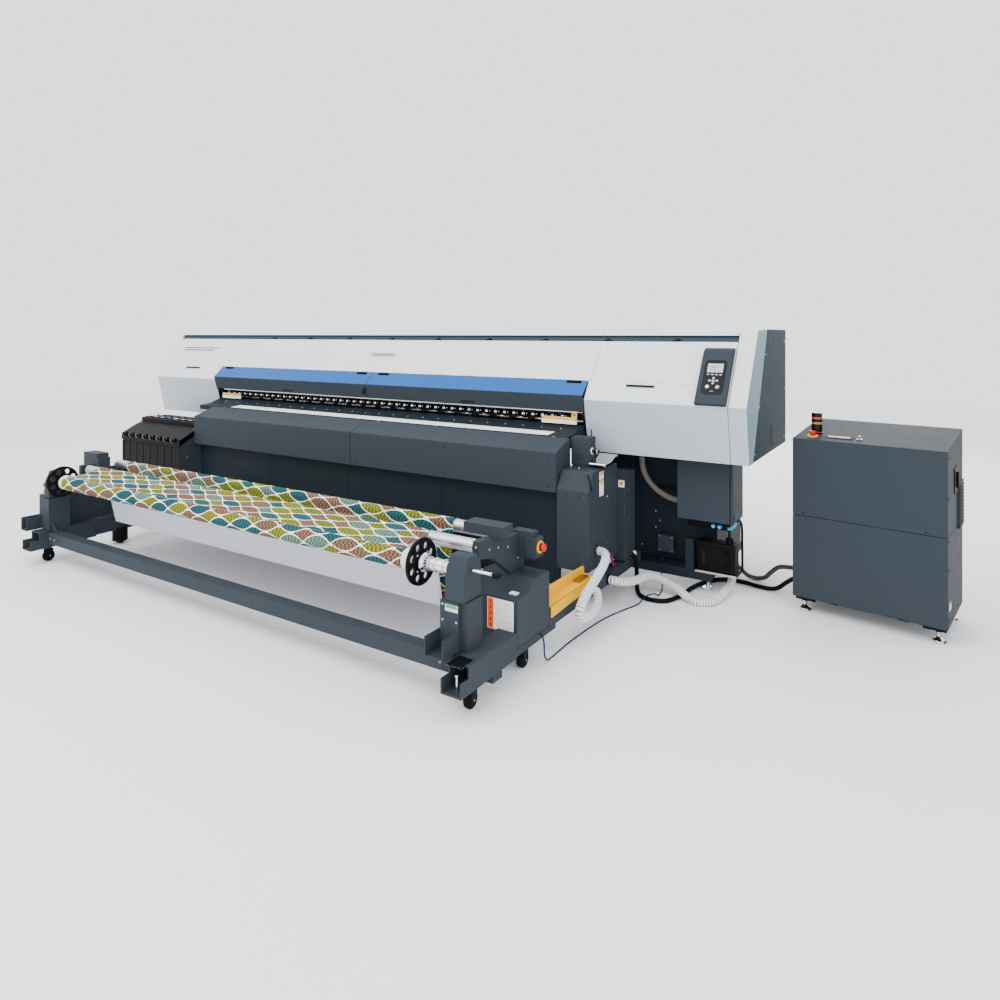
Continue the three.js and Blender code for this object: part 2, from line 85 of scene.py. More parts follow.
Point = Sequence[float]
Outline = Sequence[tuple[float, float]]
Route = tuple[tuple[float, float, float], ...]


# ---- shader arithmetic ----------------------------------------------------------------------


class Socket:
    """A shader socket that can be used in Python arithmetic."""

    def __init__(self, graph: "Graph", raw: bpy.types.NodeSocket) -> None:
        """Wraps a socket.

        Args:
            graph: the material graph that the socket belongs to.
            raw: the Blender output socket.
        """
        self.graph = graph
        self.raw = raw

    def _math(self, operation: str, *values: "Socket | float") -> "Socket":
        """Adds a Math node over the given values and returns its result."""
        return self.graph.node("ShaderNodeMath", {"operation": operation}, dict(enumerate(values)))

    def __add__(self, other: "Socket | float") -> "Socket":
        """Sum."""
        return self._math("ADD", self, other)

    def __sub__(self, other: "Socket | float") -> "Socket":
        """Difference."""
        return self._math("SUBTRACT", self, other)

    def __rsub__(self, other: "Socket | float") -> "Socket":
        """Reflected difference, so that 1 - mask works."""
        return self._math("SUBTRACT", other, self)

    def __mul__(self, other: "Socket | float") -> "Socket":
        """Product."""
        return self._math("MULTIPLY", self, other)

    def __gt__(self, other: "Socket | float") -> "Socket":
        """1 where self is larger."""
        return self._math("GREATER_THAN", self, other)

    def __lt__(self, other: "Socket | float") -> "Socket":
        """1 where self is smaller."""
        return self._math("LESS_THAN", self, other)

    def sine(self) -> "Socket":
        """Sine of the value in radians."""
        return self._math("SINE", self)

    def size(self) -> "Socket":
        """Absolute value."""
        return self._math("ABSOLUTE", self)

    def fraction(self) -> "Socket":
        """Fractional part."""
        return self._math("FRACT", self)

    def whole(self) -> "Socket":
        """Largest whole number below."""
        return self._math("FLOOR", self)

    def most(self, other: "Socket | float") -> "Socket":
        """The larger of the two."""
        return self._math("MAXIMUM", self, other)


class Graph:
    """One procedural material, written as expressions."""

    def __init__(self, name: str) -> None:
        """Starts a material with a Principled surface.

        Args:
            name: name of the material.
        """
        self.material = bpy.data.materials.new(name)
        self.material.use_nodes = True
        self.tree = self.material.node_tree
        self.surface = self.tree.nodes["Principled BSDF"]

    def node(
        self,
        kind: str,
        settings: dict[str, object] | None = None,
        values: dict[int | str, object] | None = None,
        output: int | str = 0,
    ) -> Socket:
        """Adds one node.

        Args:
            kind: the node's type name.
            settings: attributes set first; "stops" fills a colour ramp.
            values: socket index or name to a Socket, number, colour or vector.
            output: which output to return.

        Returns:
            The chosen output.
        """
        made = self.tree.nodes.new(kind)
        for key, value in (settings or {}).items():
            if key == "stops":
                self._fill_ramp(made.color_ramp, value)
            else:
                setattr(made, key, value)
        for key, value in (values or {}).items():
            if isinstance(value, Socket):
                self.tree.links.new(value.raw, made.inputs[key])
            else:
                made.inputs[key].default_value = value
        return Socket(self, made.outputs[output])

    @staticmethod
    def _fill_ramp(ramp: bpy.types.ColorRamp, stops: Sequence[tuple[float, Sequence[float]]]) -> None:
        """Writes a ramp's stops; a ramp of flat bands is made with CONSTANT steps."""
        ramp.interpolation = "CONSTANT" if len(stops) > 2 else "LINEAR"
        while len(ramp.elements) < len(stops):
            ramp.elements.new(1.0)
        for element, (place, colour) in zip(ramp.elements, stops):
            element.position = place
            element.color = colour

    def place(self, scale: Point = (1.0, 1.0, 1.0)) -> Socket:
        """Object coordinates in metres, stretched by scale."""
        where = self.node("ShaderNodeTexCoord", output="Object")
        return self.node("ShaderNodeVectorMath", {"operation": "MULTIPLY"}, {0: where, 1: scale})

    def cloud(self, where: Socket, scale: float, detail: float = 2.0, rough: float = 0.5) -> Socket:
        """Soft noise from 0 to 1."""
        values = {"Vector": where, "Scale": scale, "Detail": detail, "Roughness": rough}
        return self.node("ShaderNodeTexNoise", values=values)

    def mix(self, share: "Socket | float", low: object, high: object) -> Socket:
        """Colour between low and high."""
        values = {"Factor": share, 6: low, 7: high}
        return self.node("ShaderNodeMix", {"data_type": "RGBA"}, values, output=2)

    def bump(self, height: Socket, depth: float) -> None:
        """Sends a height in metres times depth to the surface's normal."""
        values = {"Height": height, "Distance": depth, "Strength": 1.0}
        self.feed("Normal", self.node("ShaderNodeBump", values=values))

    def feed(self, name: str, value: object) -> None:
        """Sets or links one socket of the surface."""
        if isinstance(value, Socket):
            self.tree.links.new(value.raw, self.surface.inputs[name])
        else:
            self.surface.inputs[name].default_value = value


def tint(code: str, level: float = 1.0) -> tuple[float, float, float, float]:
    """A linear colour from a six-digit screen colour.

    Args:
        code: screen colour such as "D5D7D9".
        level: brightness factor applied in linear light.

    Returns:
        Red, green, blue and alpha.
    """
    parts = [int(code[i : i + 2], 16) / 255 for i in (0, 2, 4)]
    linear = [c / 12.92 if c <= 0.04045 else ((c + 0.055) / 1.055) ** 2.4 for c in parts]
    return (linear[0] * level, linear[1] * level, linear[2] * level, 1.0)


# ---- finishes -------------------------------------------------------------------------------


@dataclass(frozen=True)
class Coating:
    """Powder-coated sheet metal: fine orange peel, faint mottling and dust towards the floor."""

    name: str
    colour: str
    slot: str
    rough: float = 0.42
    mottle: float = 0.05
    grain: float = 900.0
    depth: float = 0.00006
    dust: float = 0.04
    gloss: float = 0.14

    def build(self) -> bpy.types.Material:
        """Makes the material."""
        g = Graph(self.name)
        where = g.place()
        broad = g.cloud(where, 2.6, 3.0)
        fine = g.cloud(where, self.grain, 1.0)
        height = g.node("ShaderNodeSeparateXYZ", values={0: where}, output=2)
        low = (1.0 - height * 2.2).most(0.0) * g.cloud(where, 7.0, 4.0) * self.dust
        base = g.mix(broad, tint(self.colour, 1 - self.mottle), tint(self.colour, 1 + self.mottle))
        speckled = g.mix(fine * (self.mottle * 3.0), base, tint(self.colour, 1.9))
        g.feed("Base Color", g.mix(low, speckled, tint("9A958C")))
        g.feed("Roughness", g.cloud(where, 11.0, 3.0) * 0.12 + (self.rough - 0.06) + low * 0.6)
        g.feed("Specular IOR Level", self.gloss)
        g.bump(fine, self.depth)
        return g.material


@dataclass(frozen=True)
class Plastic:
    """Moulded plastic or rubber with a spark-eroded grain and small sheen changes."""

    name: str
    colour: str
    slot: str
    rough: float = 0.45
    grain: float = 1400.0
    depth: float = 0.00004
    coat: float = 0.0
    gloss: float = 0.07

    def build(self) -> bpy.types.Material:
        """Makes the material."""
        g = Graph(self.name)
        where = g.place()
        fine = g.cloud(where, self.grain, 2.0)
        wear = g.cloud(where, 18.0, 4.0, 0.65)
        g.feed("Base Color", g.mix(wear, tint(self.colour, 0.88), tint(self.colour, 1.12)))
        g.feed("Roughness", wear * 0.16 + (self.rough - 0.08))
        g.feed("Coat Weight", self.coat)
        g.feed("Specular IOR Level", self.gloss)
        g.bump(fine, self.depth)
        return g.material


@dataclass(frozen=True)
class Metal:
    """Bare metal with drawn or turned lines across one direction."""

    name: str
    colour: str
    slot: str
    rough: float = 0.28
    lines: tuple[float, float, float] = (40.0, 900.0, 900.0)
    depth: float = 0.00002

    def build(self) -> bpy.types.Material:
        """Makes the material."""
        g = Graph(self.name)
        drawn = g.cloud(g.place(self.lines), 1.0, 3.0, 0.6)
        smear = g.cloud(g.place(), 9.0, 4.0)
        g.feed("Base Color", g.mix(drawn, tint(self.colour, 0.82), tint(self.colour, 1.08)))
        g.feed("Metallic", 1.0)
        g.feed("Roughness", drawn * 0.14 + smear * 0.12 + (self.rough - 0.1))
        g.bump(drawn, self.depth)
        return g.material


@dataclass(frozen=True)
class Ribbed:
    """Plastic hose whose ribs are in its mesh, with patchy grime over it."""

    name: str
    colour: str
    slot: str
    rough: float = 0.4

    def build(self) -> bpy.types.Material:
        """Makes the material."""
        g = Graph(self.name)
        where = g.place()
        grime = g.cloud(where, 34.0, 5.0, 0.7)
        g.feed("Base Color", g.mix(grime * 0.5, tint(self.colour), tint(self.colour, 0.62)))
        g.feed("Roughness", grime * 0.2 + self.rough)
        g.bump(g.cloud(where, 700.0), 0.00005)
        return g.material


@dataclass(frozen=True)
class PrintedCloth:
    """White knitted cloth printed with two staggered rows of hatched leaves in seven colours."""

    name: str
    slot: str
    leaf_pitch: float = 0.080
    stretch: float = 2.5
    turn: float = 0.12
    weave: float = 1500.0
    ground: str = "F1F1EA"
    hatching: str = "0C1A18"
    inks: tuple[str, ...] = ("7E8400", "155E62", "8A6246", "125560", "8C8E00", "6A8E78", "8C6A4C")

    def _leaves(self, g: Graph, seed: float) -> tuple[Socket, ...]:
        """One layer of leaves, each in a cell of a turned grid.

        Args:
            g: the material graph.
            seed: shift that makes this layer differ from the others.

        Returns:
            Leaf mask, the pale rim round it, a random number per leaf, and the hatching in it.
        """
        flat = g.node("ShaderNodeUVMap", {"uv_map": "print"})
        pitch = 1 / self.leaf_pitch
        settings = {"operation": "MULTIPLY"}
        grid = g.node("ShaderNodeVectorRotate", {}, {"Vector": flat, "Angle": self.turn})
        cell = g.node("ShaderNodeVectorMath", settings, {0: grid, 1: (pitch / self.stretch, pitch, 1.0)})
        east = g.node("ShaderNodeSeparateXYZ", values={0: cell}, output=0) + seed
        north = g.node("ShaderNodeSeparateXYZ", values={0: cell}, output=1) + seed * 0.37
        row = north.whole()
        shifted = east + row * 0.04
        column = shifted.whole()
        key = g.node("ShaderNodeCombineXYZ", values={0: column, 1: row, 2: seed})
        chance = g.node("ShaderNodeTexWhiteNoise", {"noise_dimensions": "3D"}, {"Vector": key}, output=0)
        u = (shifted.fraction() - 0.5) * 2.0
        v = (north.fraction() - 0.5) * 2.0
        # two arcs meeting in points at the leaf's ends
        edge = (1.0 - u * u * 1.02) * (chance * 0.2 + 0.86)
        mask = v.size() < edge - 0.15
        halo = v.size() < edge
        ribs = ((u * 24.0 + v.size() * 9.0).sine() * (v * 11.0).sine()) > -0.05
        return mask, halo, chance, ribs

    def build(self) -> bpy.types.Material:
        """Makes the material."""
        g = Graph(self.name)
        flat = g.node("ShaderNodeUVMap", {"uv_map": "print"})
        count = len(self.inks)
        stops = [(i / count, tint(ink)) for i, ink in enumerate(self.inks)]
        ground = tint(self.ground)
        colour: Socket | Sequence[float] = ground
        for seed in (3.0, 4.5):
            mask, halo, chance, ribs = self._leaves(g, seed)
            ink = g.node("ShaderNodeValToRGB", {"stops": stops}, {0: chance})
            hatched = g.mix(ribs * 0.8, ink, tint(self.hatching))
            colour = g.mix(mask, g.mix(halo, colour, ground), hatched)
        weave = g.cloud(flat, self.weave, 1.0)
        g.feed("Base Color", g.mix(weave * 0.03, colour, tint("FFFFFF", 0.5)))
        g.feed("Roughness", weave * 0.15 + 0.72)
        g.feed("Specular IOR Level", 0.1)
        g.bump(weave, 0.00012)
        return g.material


@dataclass(frozen=True)
class PlainCloth:
    """The unprinted reverse of the cloth."""

    name: str
    slot: str
    colour: str = "DCDCE6"

    def build(self) -> bpy.types.Material:
        """Makes the material."""
        g = Graph(self.name)
        where = g.place()
        weave = g.cloud(where, 1500.0)
        shade = g.cloud(g.place((0.6, 6.0, 3.0)), 3.0, 3.0)
        g.feed("Base Color", g.mix(shade, tint(self.colour, 0.93), tint(self.colour, 1.05)))
        g.feed("Roughness", weave * 0.15 + 0.75)
        g.feed("Sheen Weight", 0.2)
        g.bump(weave, 0.00012)
        return g.material


@dataclass(frozen=True)
class Glow:
    """A lit or glassy lamp or display."""

    name: str
    colour: str
    slot: str
    power: float = 0.4

    def build(self) -> bpy.types.Material:
        """Makes the material."""
        g = Graph(self.name)
        shade = g.cloud(g.place(), 160.0)
        colour = g.mix(shade, tint(self.colour, 0.85), tint(self.colour, 1.1))
        g.feed("Base Color", colour)
        g.feed("Emission Color", colour)
        g.feed("Emission Strength", self.power)
        g.feed("Roughness", 0.15)
        return g.material


class Finish(Enum):
    """Every finish on the machine."""

    LIGHT = Coating("light_grey_coat", "DADBDD", "housing_light", 0.36, 0.03, gloss=0.4)
    # CAP: teal grey on the handle trims and badge; on the end cap's right side it is painted shade standing
    # for the light grey cover turned from the light.
    CAP = Coating("teal_grey_coat_and_painted_shade", "54707E", "end_cap_grey", 0.4, 0.04)
    # LOW: a darker copy of the light grey coat, painted shade on the lower front faces that turn down away
    # from the light.
    LOW = Coating("light_grey_painted_shade", "A9B3BC", "housing_light", 0.4, 0.03, gloss=0.3)
    NAVY = Coating("dark_blue_coat", "08202C", "side_dark", 0.6, 0.06, dust=0.0, gloss=0.08)
    SLATE = Coating("slate_coat", "2D343B", "slate", 0.56, 0.06, dust=0.02, gloss=0.1)
    # SHADE: dark slate paint on many parts, and painted shade on the cabinet's right side, the recessed
    # lower cover and the strips behind the seams.
    SHADE = Coating("dark_slate_coat_and_painted_shade", "1B232A", "slate", 0.56, 0.06, dust=0.02, gloss=0.1)
    BLUE = Coating("blue_window", "1A5596", "window_blue", 0.34, 0.04, dust=0.0)
    # RECESS: painted shade in the grip recess of the light grey cover.
    RECESS = Coating("recess_painted_shade", "2C3A46", "housing_light", 0.42, 0.05, dust=0.0)
    YELLOW = Coating("yellow_duct_coat", "E8AC00", "slate", 0.5, 0.03, gloss=0.04)
    BLACK = Plastic("moulded_black", "0C0D0F", "black_plastic", 0.46)
    GLOSS = Plastic("gloss_black", "040506", "black_plastic", 0.24, coat=0.3)
    RUBBER = Plastic("tyre_rubber", "0C0D0E", "black_rubber", 0.65)
    STEEL = Metal("zinc_steel", "B9BDC0", "steel", 0.3)
    CHROME = Metal("polished_steel", "DDE0E2", "steel", 0.14)
    ALUMINIUM = Metal("turned_aluminium", "C9CCCE", "aluminium", 0.32)
    BRASS = Metal("warm_metal", "B59A5A", "steel", 0.32)
    RED = Plastic("signal_red", "D01008", "stop_red", 0.3, coat=0.3)
    AMBER = Plastic("signal_yellow", "EDAE00", "stop_red", 0.35)
    PAPER = Plastic("label_white", "EDEDE8", "slate", 0.5)
    LABEL_YELLOW = Plastic("label_yellow", "EDAE00", "slate", 0.5)
    LABEL_ORANGE = Plastic("label_orange", "F25010", "slate", 0.5)
    INK_PINK = Plastic("label_pink", "D77FA0", "black_plastic", 0.5)
    INK_CYAN = Plastic("label_cyan", "7FC4DE", "black_plastic", 0.5)
    INK_BLUE = Plastic("label_blue", "3D6FB8", "black_plastic", 0.5)
    KEY_GREY = Plastic("key_grey", "AEB4BA", "black_plastic", 0.4)
    FITTING = Plastic("fitting_blue", "2E9ADB", "hose_white", 0.35)
    CARD = Plastic("card_core", "B98F6C", "aluminium", 0.75)
    HOSE = Ribbed("white_hose", "F4F6F6", "hose_white")
    # GROOVE: a darker copy of the white hose, painted shade between its ribs.
    GROOVE = Ribbed("hose_groove_painted_shade", "8E9496", "hose_white", 0.55)
    CONDUIT = Ribbed("grey_conduit", "3A3E42", "conduit_grey", 0.5)
    CABLE = Plastic("cable_sheath", "0A0B0C", "cable_black", 0.5)
    NETWORK = Plastic("network_sheath", "101D4A", "network_blue", 0.45)
    BEIGE = Plastic("drain_hose", "6E6660", "hose_beige", 0.5)
    WIRE_RED = Plastic("wire_red", "B01030", "cable_black", 0.4)
    WIRE_PURPLE = Plastic("wire_purple", "6A2C80", "cable_black", 0.4)
    CLOTH = PrintedCloth("printed_cloth", "printed_fabric")
    REVERSE = PlainCloth("cloth_reverse", "printed_fabric")
    DISPLAY = Glow("display_glass", "A9BDB4", "black_plastic", 0.25)
    LAMP_RED = Glow("lamp_red", "C8231A", "stop_red", 0.15)
    LAMP_GREEN = Glow("lamp_green", "1F8F4A", "stop_red", 0.3)

    def material(self) -> bpy.types.Material:
        """The finish's material, made the first time it is asked for."""
        found = bpy.data.materials.get(self.value.name)
        return found if found is not None else self.value.build()


# ---- mesh making ----------------------------------------------------------------------------

HERE = Matrix.Identity(4)
SHARP = math.radians(28)


def place(at: Point, turn_z: float = 0.0, tilt_x: float = 0.0, spin_y: float = 0.0) -> Matrix:
    """A placing matrix.

    Args:
        at: where the local origin goes.
        turn_z: turn about the vertical, in degrees, applied last.
        tilt_x: turn about X, in degrees.
        spin_y: turn about Y, in degrees, applied first.

    Returns:
        The matrix.
    """
    turn = Matrix.Rotation(math.radians(turn_z), 4, "Z")
    tilt = Matrix.Rotation(math.radians(tilt_x), 4, "X")
    spin = Matrix.Rotation(math.radians(spin_y), 4, "Y")
    return Matrix.Translation(Vector(at)) @ turn @ tilt @ spin


def middle(node: str) -> Vector:
    """Centre of a frame solid's box."""
    lo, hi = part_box(node)
    return (lo + hi) / 2


@dataclass
class Form:
    """A piece made of several solids, each with its finish, in one mesh."""

    name: str
    finish: Finish
    body: str = "root"
    bevel: float = 0.0012
    mesh: bmesh.types.BMesh = field(default_factory=bmesh.new)
    finishes: list[Finish] = field(default_factory=list)

    def _index(self, finish: Finish | None) -> int:
        """Material index of a finish on this piece."""
        wanted = finish or self.finish
        if wanted not in self.finishes:
            self.finishes.append(wanted)
        return self.finishes.index(wanted)

    def add(self, points: Iterable[Point], faces: Iterable[Sequence[int]], finish: Finish | None) -> None:
        """Adds points and the faces between them."""
        index = self._index(finish)
        verts = [self.mesh.verts.new(p) for p in points]
        for corners in faces:
            self.mesh.faces.new([verts[i] for i in corners]).material_index = index

    def prism(
        self, outline: Outline, x0: float, x1: float, at: Matrix = HERE, finish: Finish | None = None
    ) -> None:
        """Adds a closed (y, z) outline carried from x0 to x1.

        Args:
            outline: corners in order round the outline.
            x0: first end.
            x1: second end.
            at: placing of the local axes.
            finish: finish of this solid, or the piece's own.
        """
        count = len(outline)
        points = [at @ Vector((x, y, z)) for x in (x0, x1) for y, z in outline]
        faces = [tuple(range(count)), tuple(reversed(range(count, 2 * count)))]
        for i in range(count):
            j = (i + 1) % count
            faces.append((i, i + count, j + count, j))
        self.add(points, faces, finish)

    def box(self, lo: Point, hi: Point, at: Matrix = HERE, finish: Finish | None = None) -> None:
        """Adds a block between two corners."""
        outline = ((lo[1], lo[2]), (hi[1], lo[2]), (hi[1], hi[2]), (lo[1], hi[2]))
        self.prism(outline, lo[0], hi[0], at, finish)

    def turned(
        self, profile: Outline, at: Matrix = HERE, finish: Finish | None = None, sides: int = 28
    ) -> None:
        """Adds a solid of revolution about the local Z axis.

        Args:
            profile: (radius, height) pairs, capped at both ends unless the last repeats the first.
            at: placing of the local axes.
            finish: finish of this solid, or the piece's own.
            sides: number of sides round it.
        """
        points = []
        for radius, height in profile:
            for i in range(sides):
                angle = 2 * math.pi * i / sides
                points.append(at @ Vector((radius * math.cos(angle), radius * math.sin(angle), height)))
        hollow = profile[0] == profile[-1]
        faces = [] if hollow else [tuple(reversed(range(sides)))]
        for ring in range(len(profile) - 1):
            for i in range(sides):
                j = (i + 1) % sides
                low, high = ring * sides, (ring + 1) * sides
                faces.append((low + i, low + j, high + j, high + i))
        top = (len(profile) - 1) * sides
        if not hollow:
            faces.append(tuple(range(top, top + sides)))
        self.add(points, faces, finish)

    def done(self) -> bpy.types.Object:
        """Rounds the edges, makes the object and puts it on its body."""
        bm = self.mesh
        bmesh.ops.remove_doubles(bm, verts=bm.verts, dist=1e-6)
        bmesh.ops.recalc_face_normals(bm, faces=bm.faces)
        soften(bm, self.bevel)
        return mesh_piece(self.name, bm, self.finishes or [self.finish], self.body)


def soften(bm: bmesh.types.BMesh, width: float) -> None:
    """Rounds every edge that turns by more than the sharp angle."""
    if width <= 0:
        return
    sharp = [e for e in bm.edges if len(e.link_faces) == 2 and e.calc_face_angle(0.0) > SHARP]
    bmesh.ops.bevel(
        bm,
        geom=sharp,
        offset=width,
        offset_type="OFFSET",
        segments=2,
        profile=0.5,
        affect="EDGES",
        clamp_overlap=True,
    )


def mesh_piece(
    name: str, bm: bmesh.types.BMesh, finishes: Sequence[Finish], body: str
) -> bpy.types.Object:
    """Turns a bmesh into a smooth-shaded object that rides on a body.

    Args:
        name: the piece's name.
        bm: its mesh, which is freed.
        finishes: one finish for each material index.
        body: the frame body it moves with.

    Returns:
        The object.
    """
    mesh = bpy.data.meshes.new(name)
    bm.to_mesh(mesh)
    bm.free()
    mesh.polygons.foreach_set("use_smooth", [True] * len(mesh.polygons))
    for finish in finishes:
        mesh.materials.append(finish.material())
    piece = bpy.data.objects.new(name, mesh)
    bpy.context.scene.collection.objects.link(piece)
    flats = piece.modifiers.new("flats", "WEIGHTED_NORMAL")
    flats.weight = 100
    flats.keep_sharp = False
    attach(piece, body)
    LOG.info("%s: %d faces on %s", name, len(mesh.polygons), body)
    return piece


AXES = {"x": Vector((1, 0, 0)), "y": Vector((0, 1, 0)), "z": Vector((0, 0, 1))}


@dataclass
class Skin:
    """The outer surface of one frame solid: folded edges rounded, seams cut open, zones painted."""

    node: str
    finish: Finish
    bevel: float = 0.0025
    cuts: tuple[tuple[str, float], ...] = ()
    gap: float = 0.0025
    zones: tuple[tuple[Finish, Callable[[Vector, Vector], bool]], ...] = ()

    def _split(self, bm: bmesh.types.BMesh, axis: str, value: float) -> bmesh.types.BMesh:
        """Cuts the mesh in two with a narrow gap and closes both sides."""
        both = bmesh.new()
        for side in (-1, 1):
            part = bm.copy()
            cut = bmesh.ops.bisect_plane(
                part,
                geom=[*part.verts, *part.edges, *part.faces],
                dist=1e-6,
                plane_co=AXES[axis] * (value + side * self.gap / 2),
                plane_no=AXES[axis],
                clear_outer=side < 0,
                clear_inner=side > 0,
            )
            rim = [e for e in cut["geom_cut"] if isinstance(e, bmesh.types.BMEdge)]
            bmesh.ops.holes_fill(part, edges=rim)
            scratch = bpy.data.meshes.new("cut")
            part.to_mesh(scratch)
            part.free()
            both.from_mesh(scratch)
            bpy.data.meshes.remove(scratch)
        bm.free()
        return both

    def build(self) -> bpy.types.Object:
        """Makes the skin and lets it stand for its node."""
        source = frame["nodes"][self.node]
        bm = bmesh.new()
        bm.from_mesh(source.data)
        bmesh.ops.remove_doubles(bm, verts=bm.verts, dist=2e-5)
        bmesh.ops.dissolve_limit(bm, angle_limit=math.radians(0.6), verts=bm.verts, edges=bm.edges)
        for axis, value in self.cuts:
            bm = self._split(bm, axis, value)
        bmesh.ops.recalc_face_normals(bm, faces=bm.faces)
        soften(bm, self.bevel)
        for face in bm.faces:
            face.material_index = 0
            for number, (_, inside) in enumerate(self.zones, start=1):
                if inside(face.calc_center_median(), face.normal):
                    face.material_index = number
        finishes = [self.finish, *(finish for finish, _ in self.zones)]
        piece = mesh_piece(f"{self.node}_skin", bm, finishes, source["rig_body"])
        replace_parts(piece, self.node)
        return piece


# ---- routes ---------------------------------------------------------------------------------


def smooth_route(points: Sequence[Point], lowest: float, per_span: int = 24) -> list[Vector]:
    """A centripetal curve through points that never dips below a height.

    Args:
        points: the points it passes through.
        lowest: least height of the curve.
        per_span: samples between two points.

    Returns:
        Samples along the curve.
    """
    knots = [Vector(p) for p in points]
    knots = [2 * knots[0] - knots[1], *knots, 2 * knots[-1] - knots[-2]]
    line = []
    for a, b, c, d in zip(knots, knots[1:], knots[2:], knots[3:]):
        t0 = 0.0
        t1 = t0 + max((b - a).length, 1e-6) ** 0.5
        t2 = t1 + max((c - b).length, 1e-6) ** 0.5
        t3 = t2 + max((d - c).length, 1e-6) ** 0.5
        for step in range(per_span):
            t = t1 + (t2 - t1) * step / per_span
            ab = a * ((t1 - t) / (t1 - t0)) + b * ((t - t0) / (t1 - t0))
            bc = b * ((t2 - t) / (t2 - t1)) + c * ((t - t1) / (t2 - t1))
            cd = c * ((t3 - t) / (t3 - t2)) + d * ((t - t2) / (t3 - t2))
            abc = ab * ((t2 - t) / (t2 - t0)) + bc * ((t - t0) / (t2 - t0))
            bcd = bc * ((t3 - t) / (t3 - t1)) + cd * ((t - t1) / (t3 - t1))
            line.append(abc * ((t2 - t) / (t2 - t1)) + bcd * ((t - t1) / (t2 - t1)))
    line.append(knots[-2])
    return [Vector((p.x, p.y, max(p.z, lowest))) for p in line]


def even_steps(line: Sequence[Vector], step: float) -> list[Vector]:
    """Points at equal distances along a line, its two ends among them."""
    marks = [0.0]
    for p, q in zip(line, line[1:]):
        marks.append(marks[-1] + (q - p).length)
    count = max(2, round(marks[-1] / step))
    out, at = [], 0
    for i in range(count + 1):
        goal = marks[-1] * i / count
        while at < len(marks) - 2 and marks[at + 1] < goal:
            at += 1
        span = marks[at + 1] - marks[at]
        share = (goal - marks[at]) / span if span else 0.0
        out.append(line[at].lerp(line[at + 1], share))
    return out


def route_length(line: Sequence[Vector]) -> float:
    """Length of a line of points."""
    return sum((q - p).length for p, q in zip(line, line[1:]))


def tube_mesh(line: Sequence[Vector], radii: Sequence[float], sides: int) -> bmesh.types.BMesh:
    """A capped tube that follows a line, with one radius for each point, without twist.

    Args:
        line: points of the middle line.
        radii: radius at each point.
        sides: sides of a ring.

    Returns:
        The tube's mesh.
    """
    bm = bmesh.new()
    heading = (line[1] - line[0]).normalized()
    across = heading.orthogonal().normalized()
    rings = []
    for i, point in enumerate(line):
        ahead = (line[min(i + 1, len(line) - 1)] - line[max(i - 1, 0)]).normalized()
        across = (across - ahead * across.dot(ahead)).normalized()
        other = ahead.cross(across)
        ring = []
        for k in range(sides):
            angle = 2 * math.pi * k / sides
            offset = across * math.cos(angle) + other * math.sin(angle)
            ring.append(bm.verts.new(point + offset * radii[i]))
        rings.append(ring)
    for low, high in zip(rings, rings[1:]):
        for k in range(sides):
            j = (k + 1) % sides
            bm.faces.new((low[k], low[j], high[j], high[k]))
    bm.faces.new(list(reversed(rings[0])))
    bm.faces.new(rings[-1])
    return bm


# ---- camera, light and floor ----------------------------------------------------------------


@dataclass(frozen=True)
class Studio:
    """Camera, soft lights and a pale floor."""

    eye: tuple[float, float, float] = (3.330, -3.850, 1.650)
    heading: tuple[float, float] = (-0.5368, 0.8437)
    lens: float = 25.2
    shift: float = -0.166
    floor_size: float = 30.0

    def camera(self) -> None:
        """Makes the camera, level and looking along the machine."""
        data = bpy.data.cameras.new("view")
        data.lens = self.lens
        data.shift_y = self.shift
        data.clip_end = 60.0
        camera = bpy.data.objects.new("view", data)
        camera.location = self.eye
        turn = math.atan2(self.heading[1], self.heading[0]) - math.pi / 2
        camera.rotation_euler = (math.pi / 2, 0.0, turn)
        bpy.context.scene.collection.objects.link(camera)
        bpy.context.scene.camera = camera

    def light(self, name: str, at: Point, aim: Point, size: float, power: float, warm: str) -> None:
        """Hangs one square soft light.

        Args:
            name: its name.
            at: where it hangs.
            aim: the point it faces.
            size: side of its surface.
            power: watts.
            warm: its screen colour.
        """
        data = bpy.data.lights.new(name, "AREA")
        data.size = size
        data.energy = power
        data.color = tint(warm)[:3]
        lamp = bpy.data.objects.new(name, data)
        lamp.location = at
        lamp.rotation_euler = (Vector(aim) - Vector(at)).to_track_quat("-Z", "Y").to_euler()
        bpy.context.scene.collection.objects.link(lamp)

    def build(self) -> None:
        """Sets the studio up."""
        self.camera()
        self.light("key", (-1.0, -4.5, 6.5), (0.0, 0.3, 0.9), 4.0, 330.0, "FFFFFF")
        self.light("front_fill", (5.0, -5.0, 2.6), (1.0, 0.0, 0.7), 3.5, 60.0, "F4F8FF")
        self.light("overhead", (0.0, 0.6, 6.0), (0.0, 0.0, 0.0), 7.0, 80.0, "FFFFFF")
        self.light("rear", (2.0, 7.0, 4.0), (0.0, 0.5, 0.8), 5.0, 180.0, "FFFFFF")
        world = bpy.data.worlds.new("studio")
        world.use_nodes = True
        backdrop = world.node_tree.nodes["Background"]
        backdrop.inputs["Color"].default_value = (0.97, 0.98, 1.0, 1.0)
        backdrop.inputs["Strength"].default_value = 2.0
        bpy.context.scene.world = world
        mesh = bpy.data.meshes.new("floor")
        half = self.floor_size / 2
        mesh.from_pydata([(-half, -half, 0), (half, -half, 0), (half, half, 0), (-half, half, 0)], [],
                         [(0, 1, 2, 3)])
        floor = bpy.data.objects.new("floor", mesh)
        floor.data.materials.append(Coating("pale_floor", "F4F4F4", "slate", 0.7, 0.01, dust=0.0).build())
        bpy.context.scene.collection.objects.link(floor)


# ---- hoses and cables -----------------------------------------------------------------------


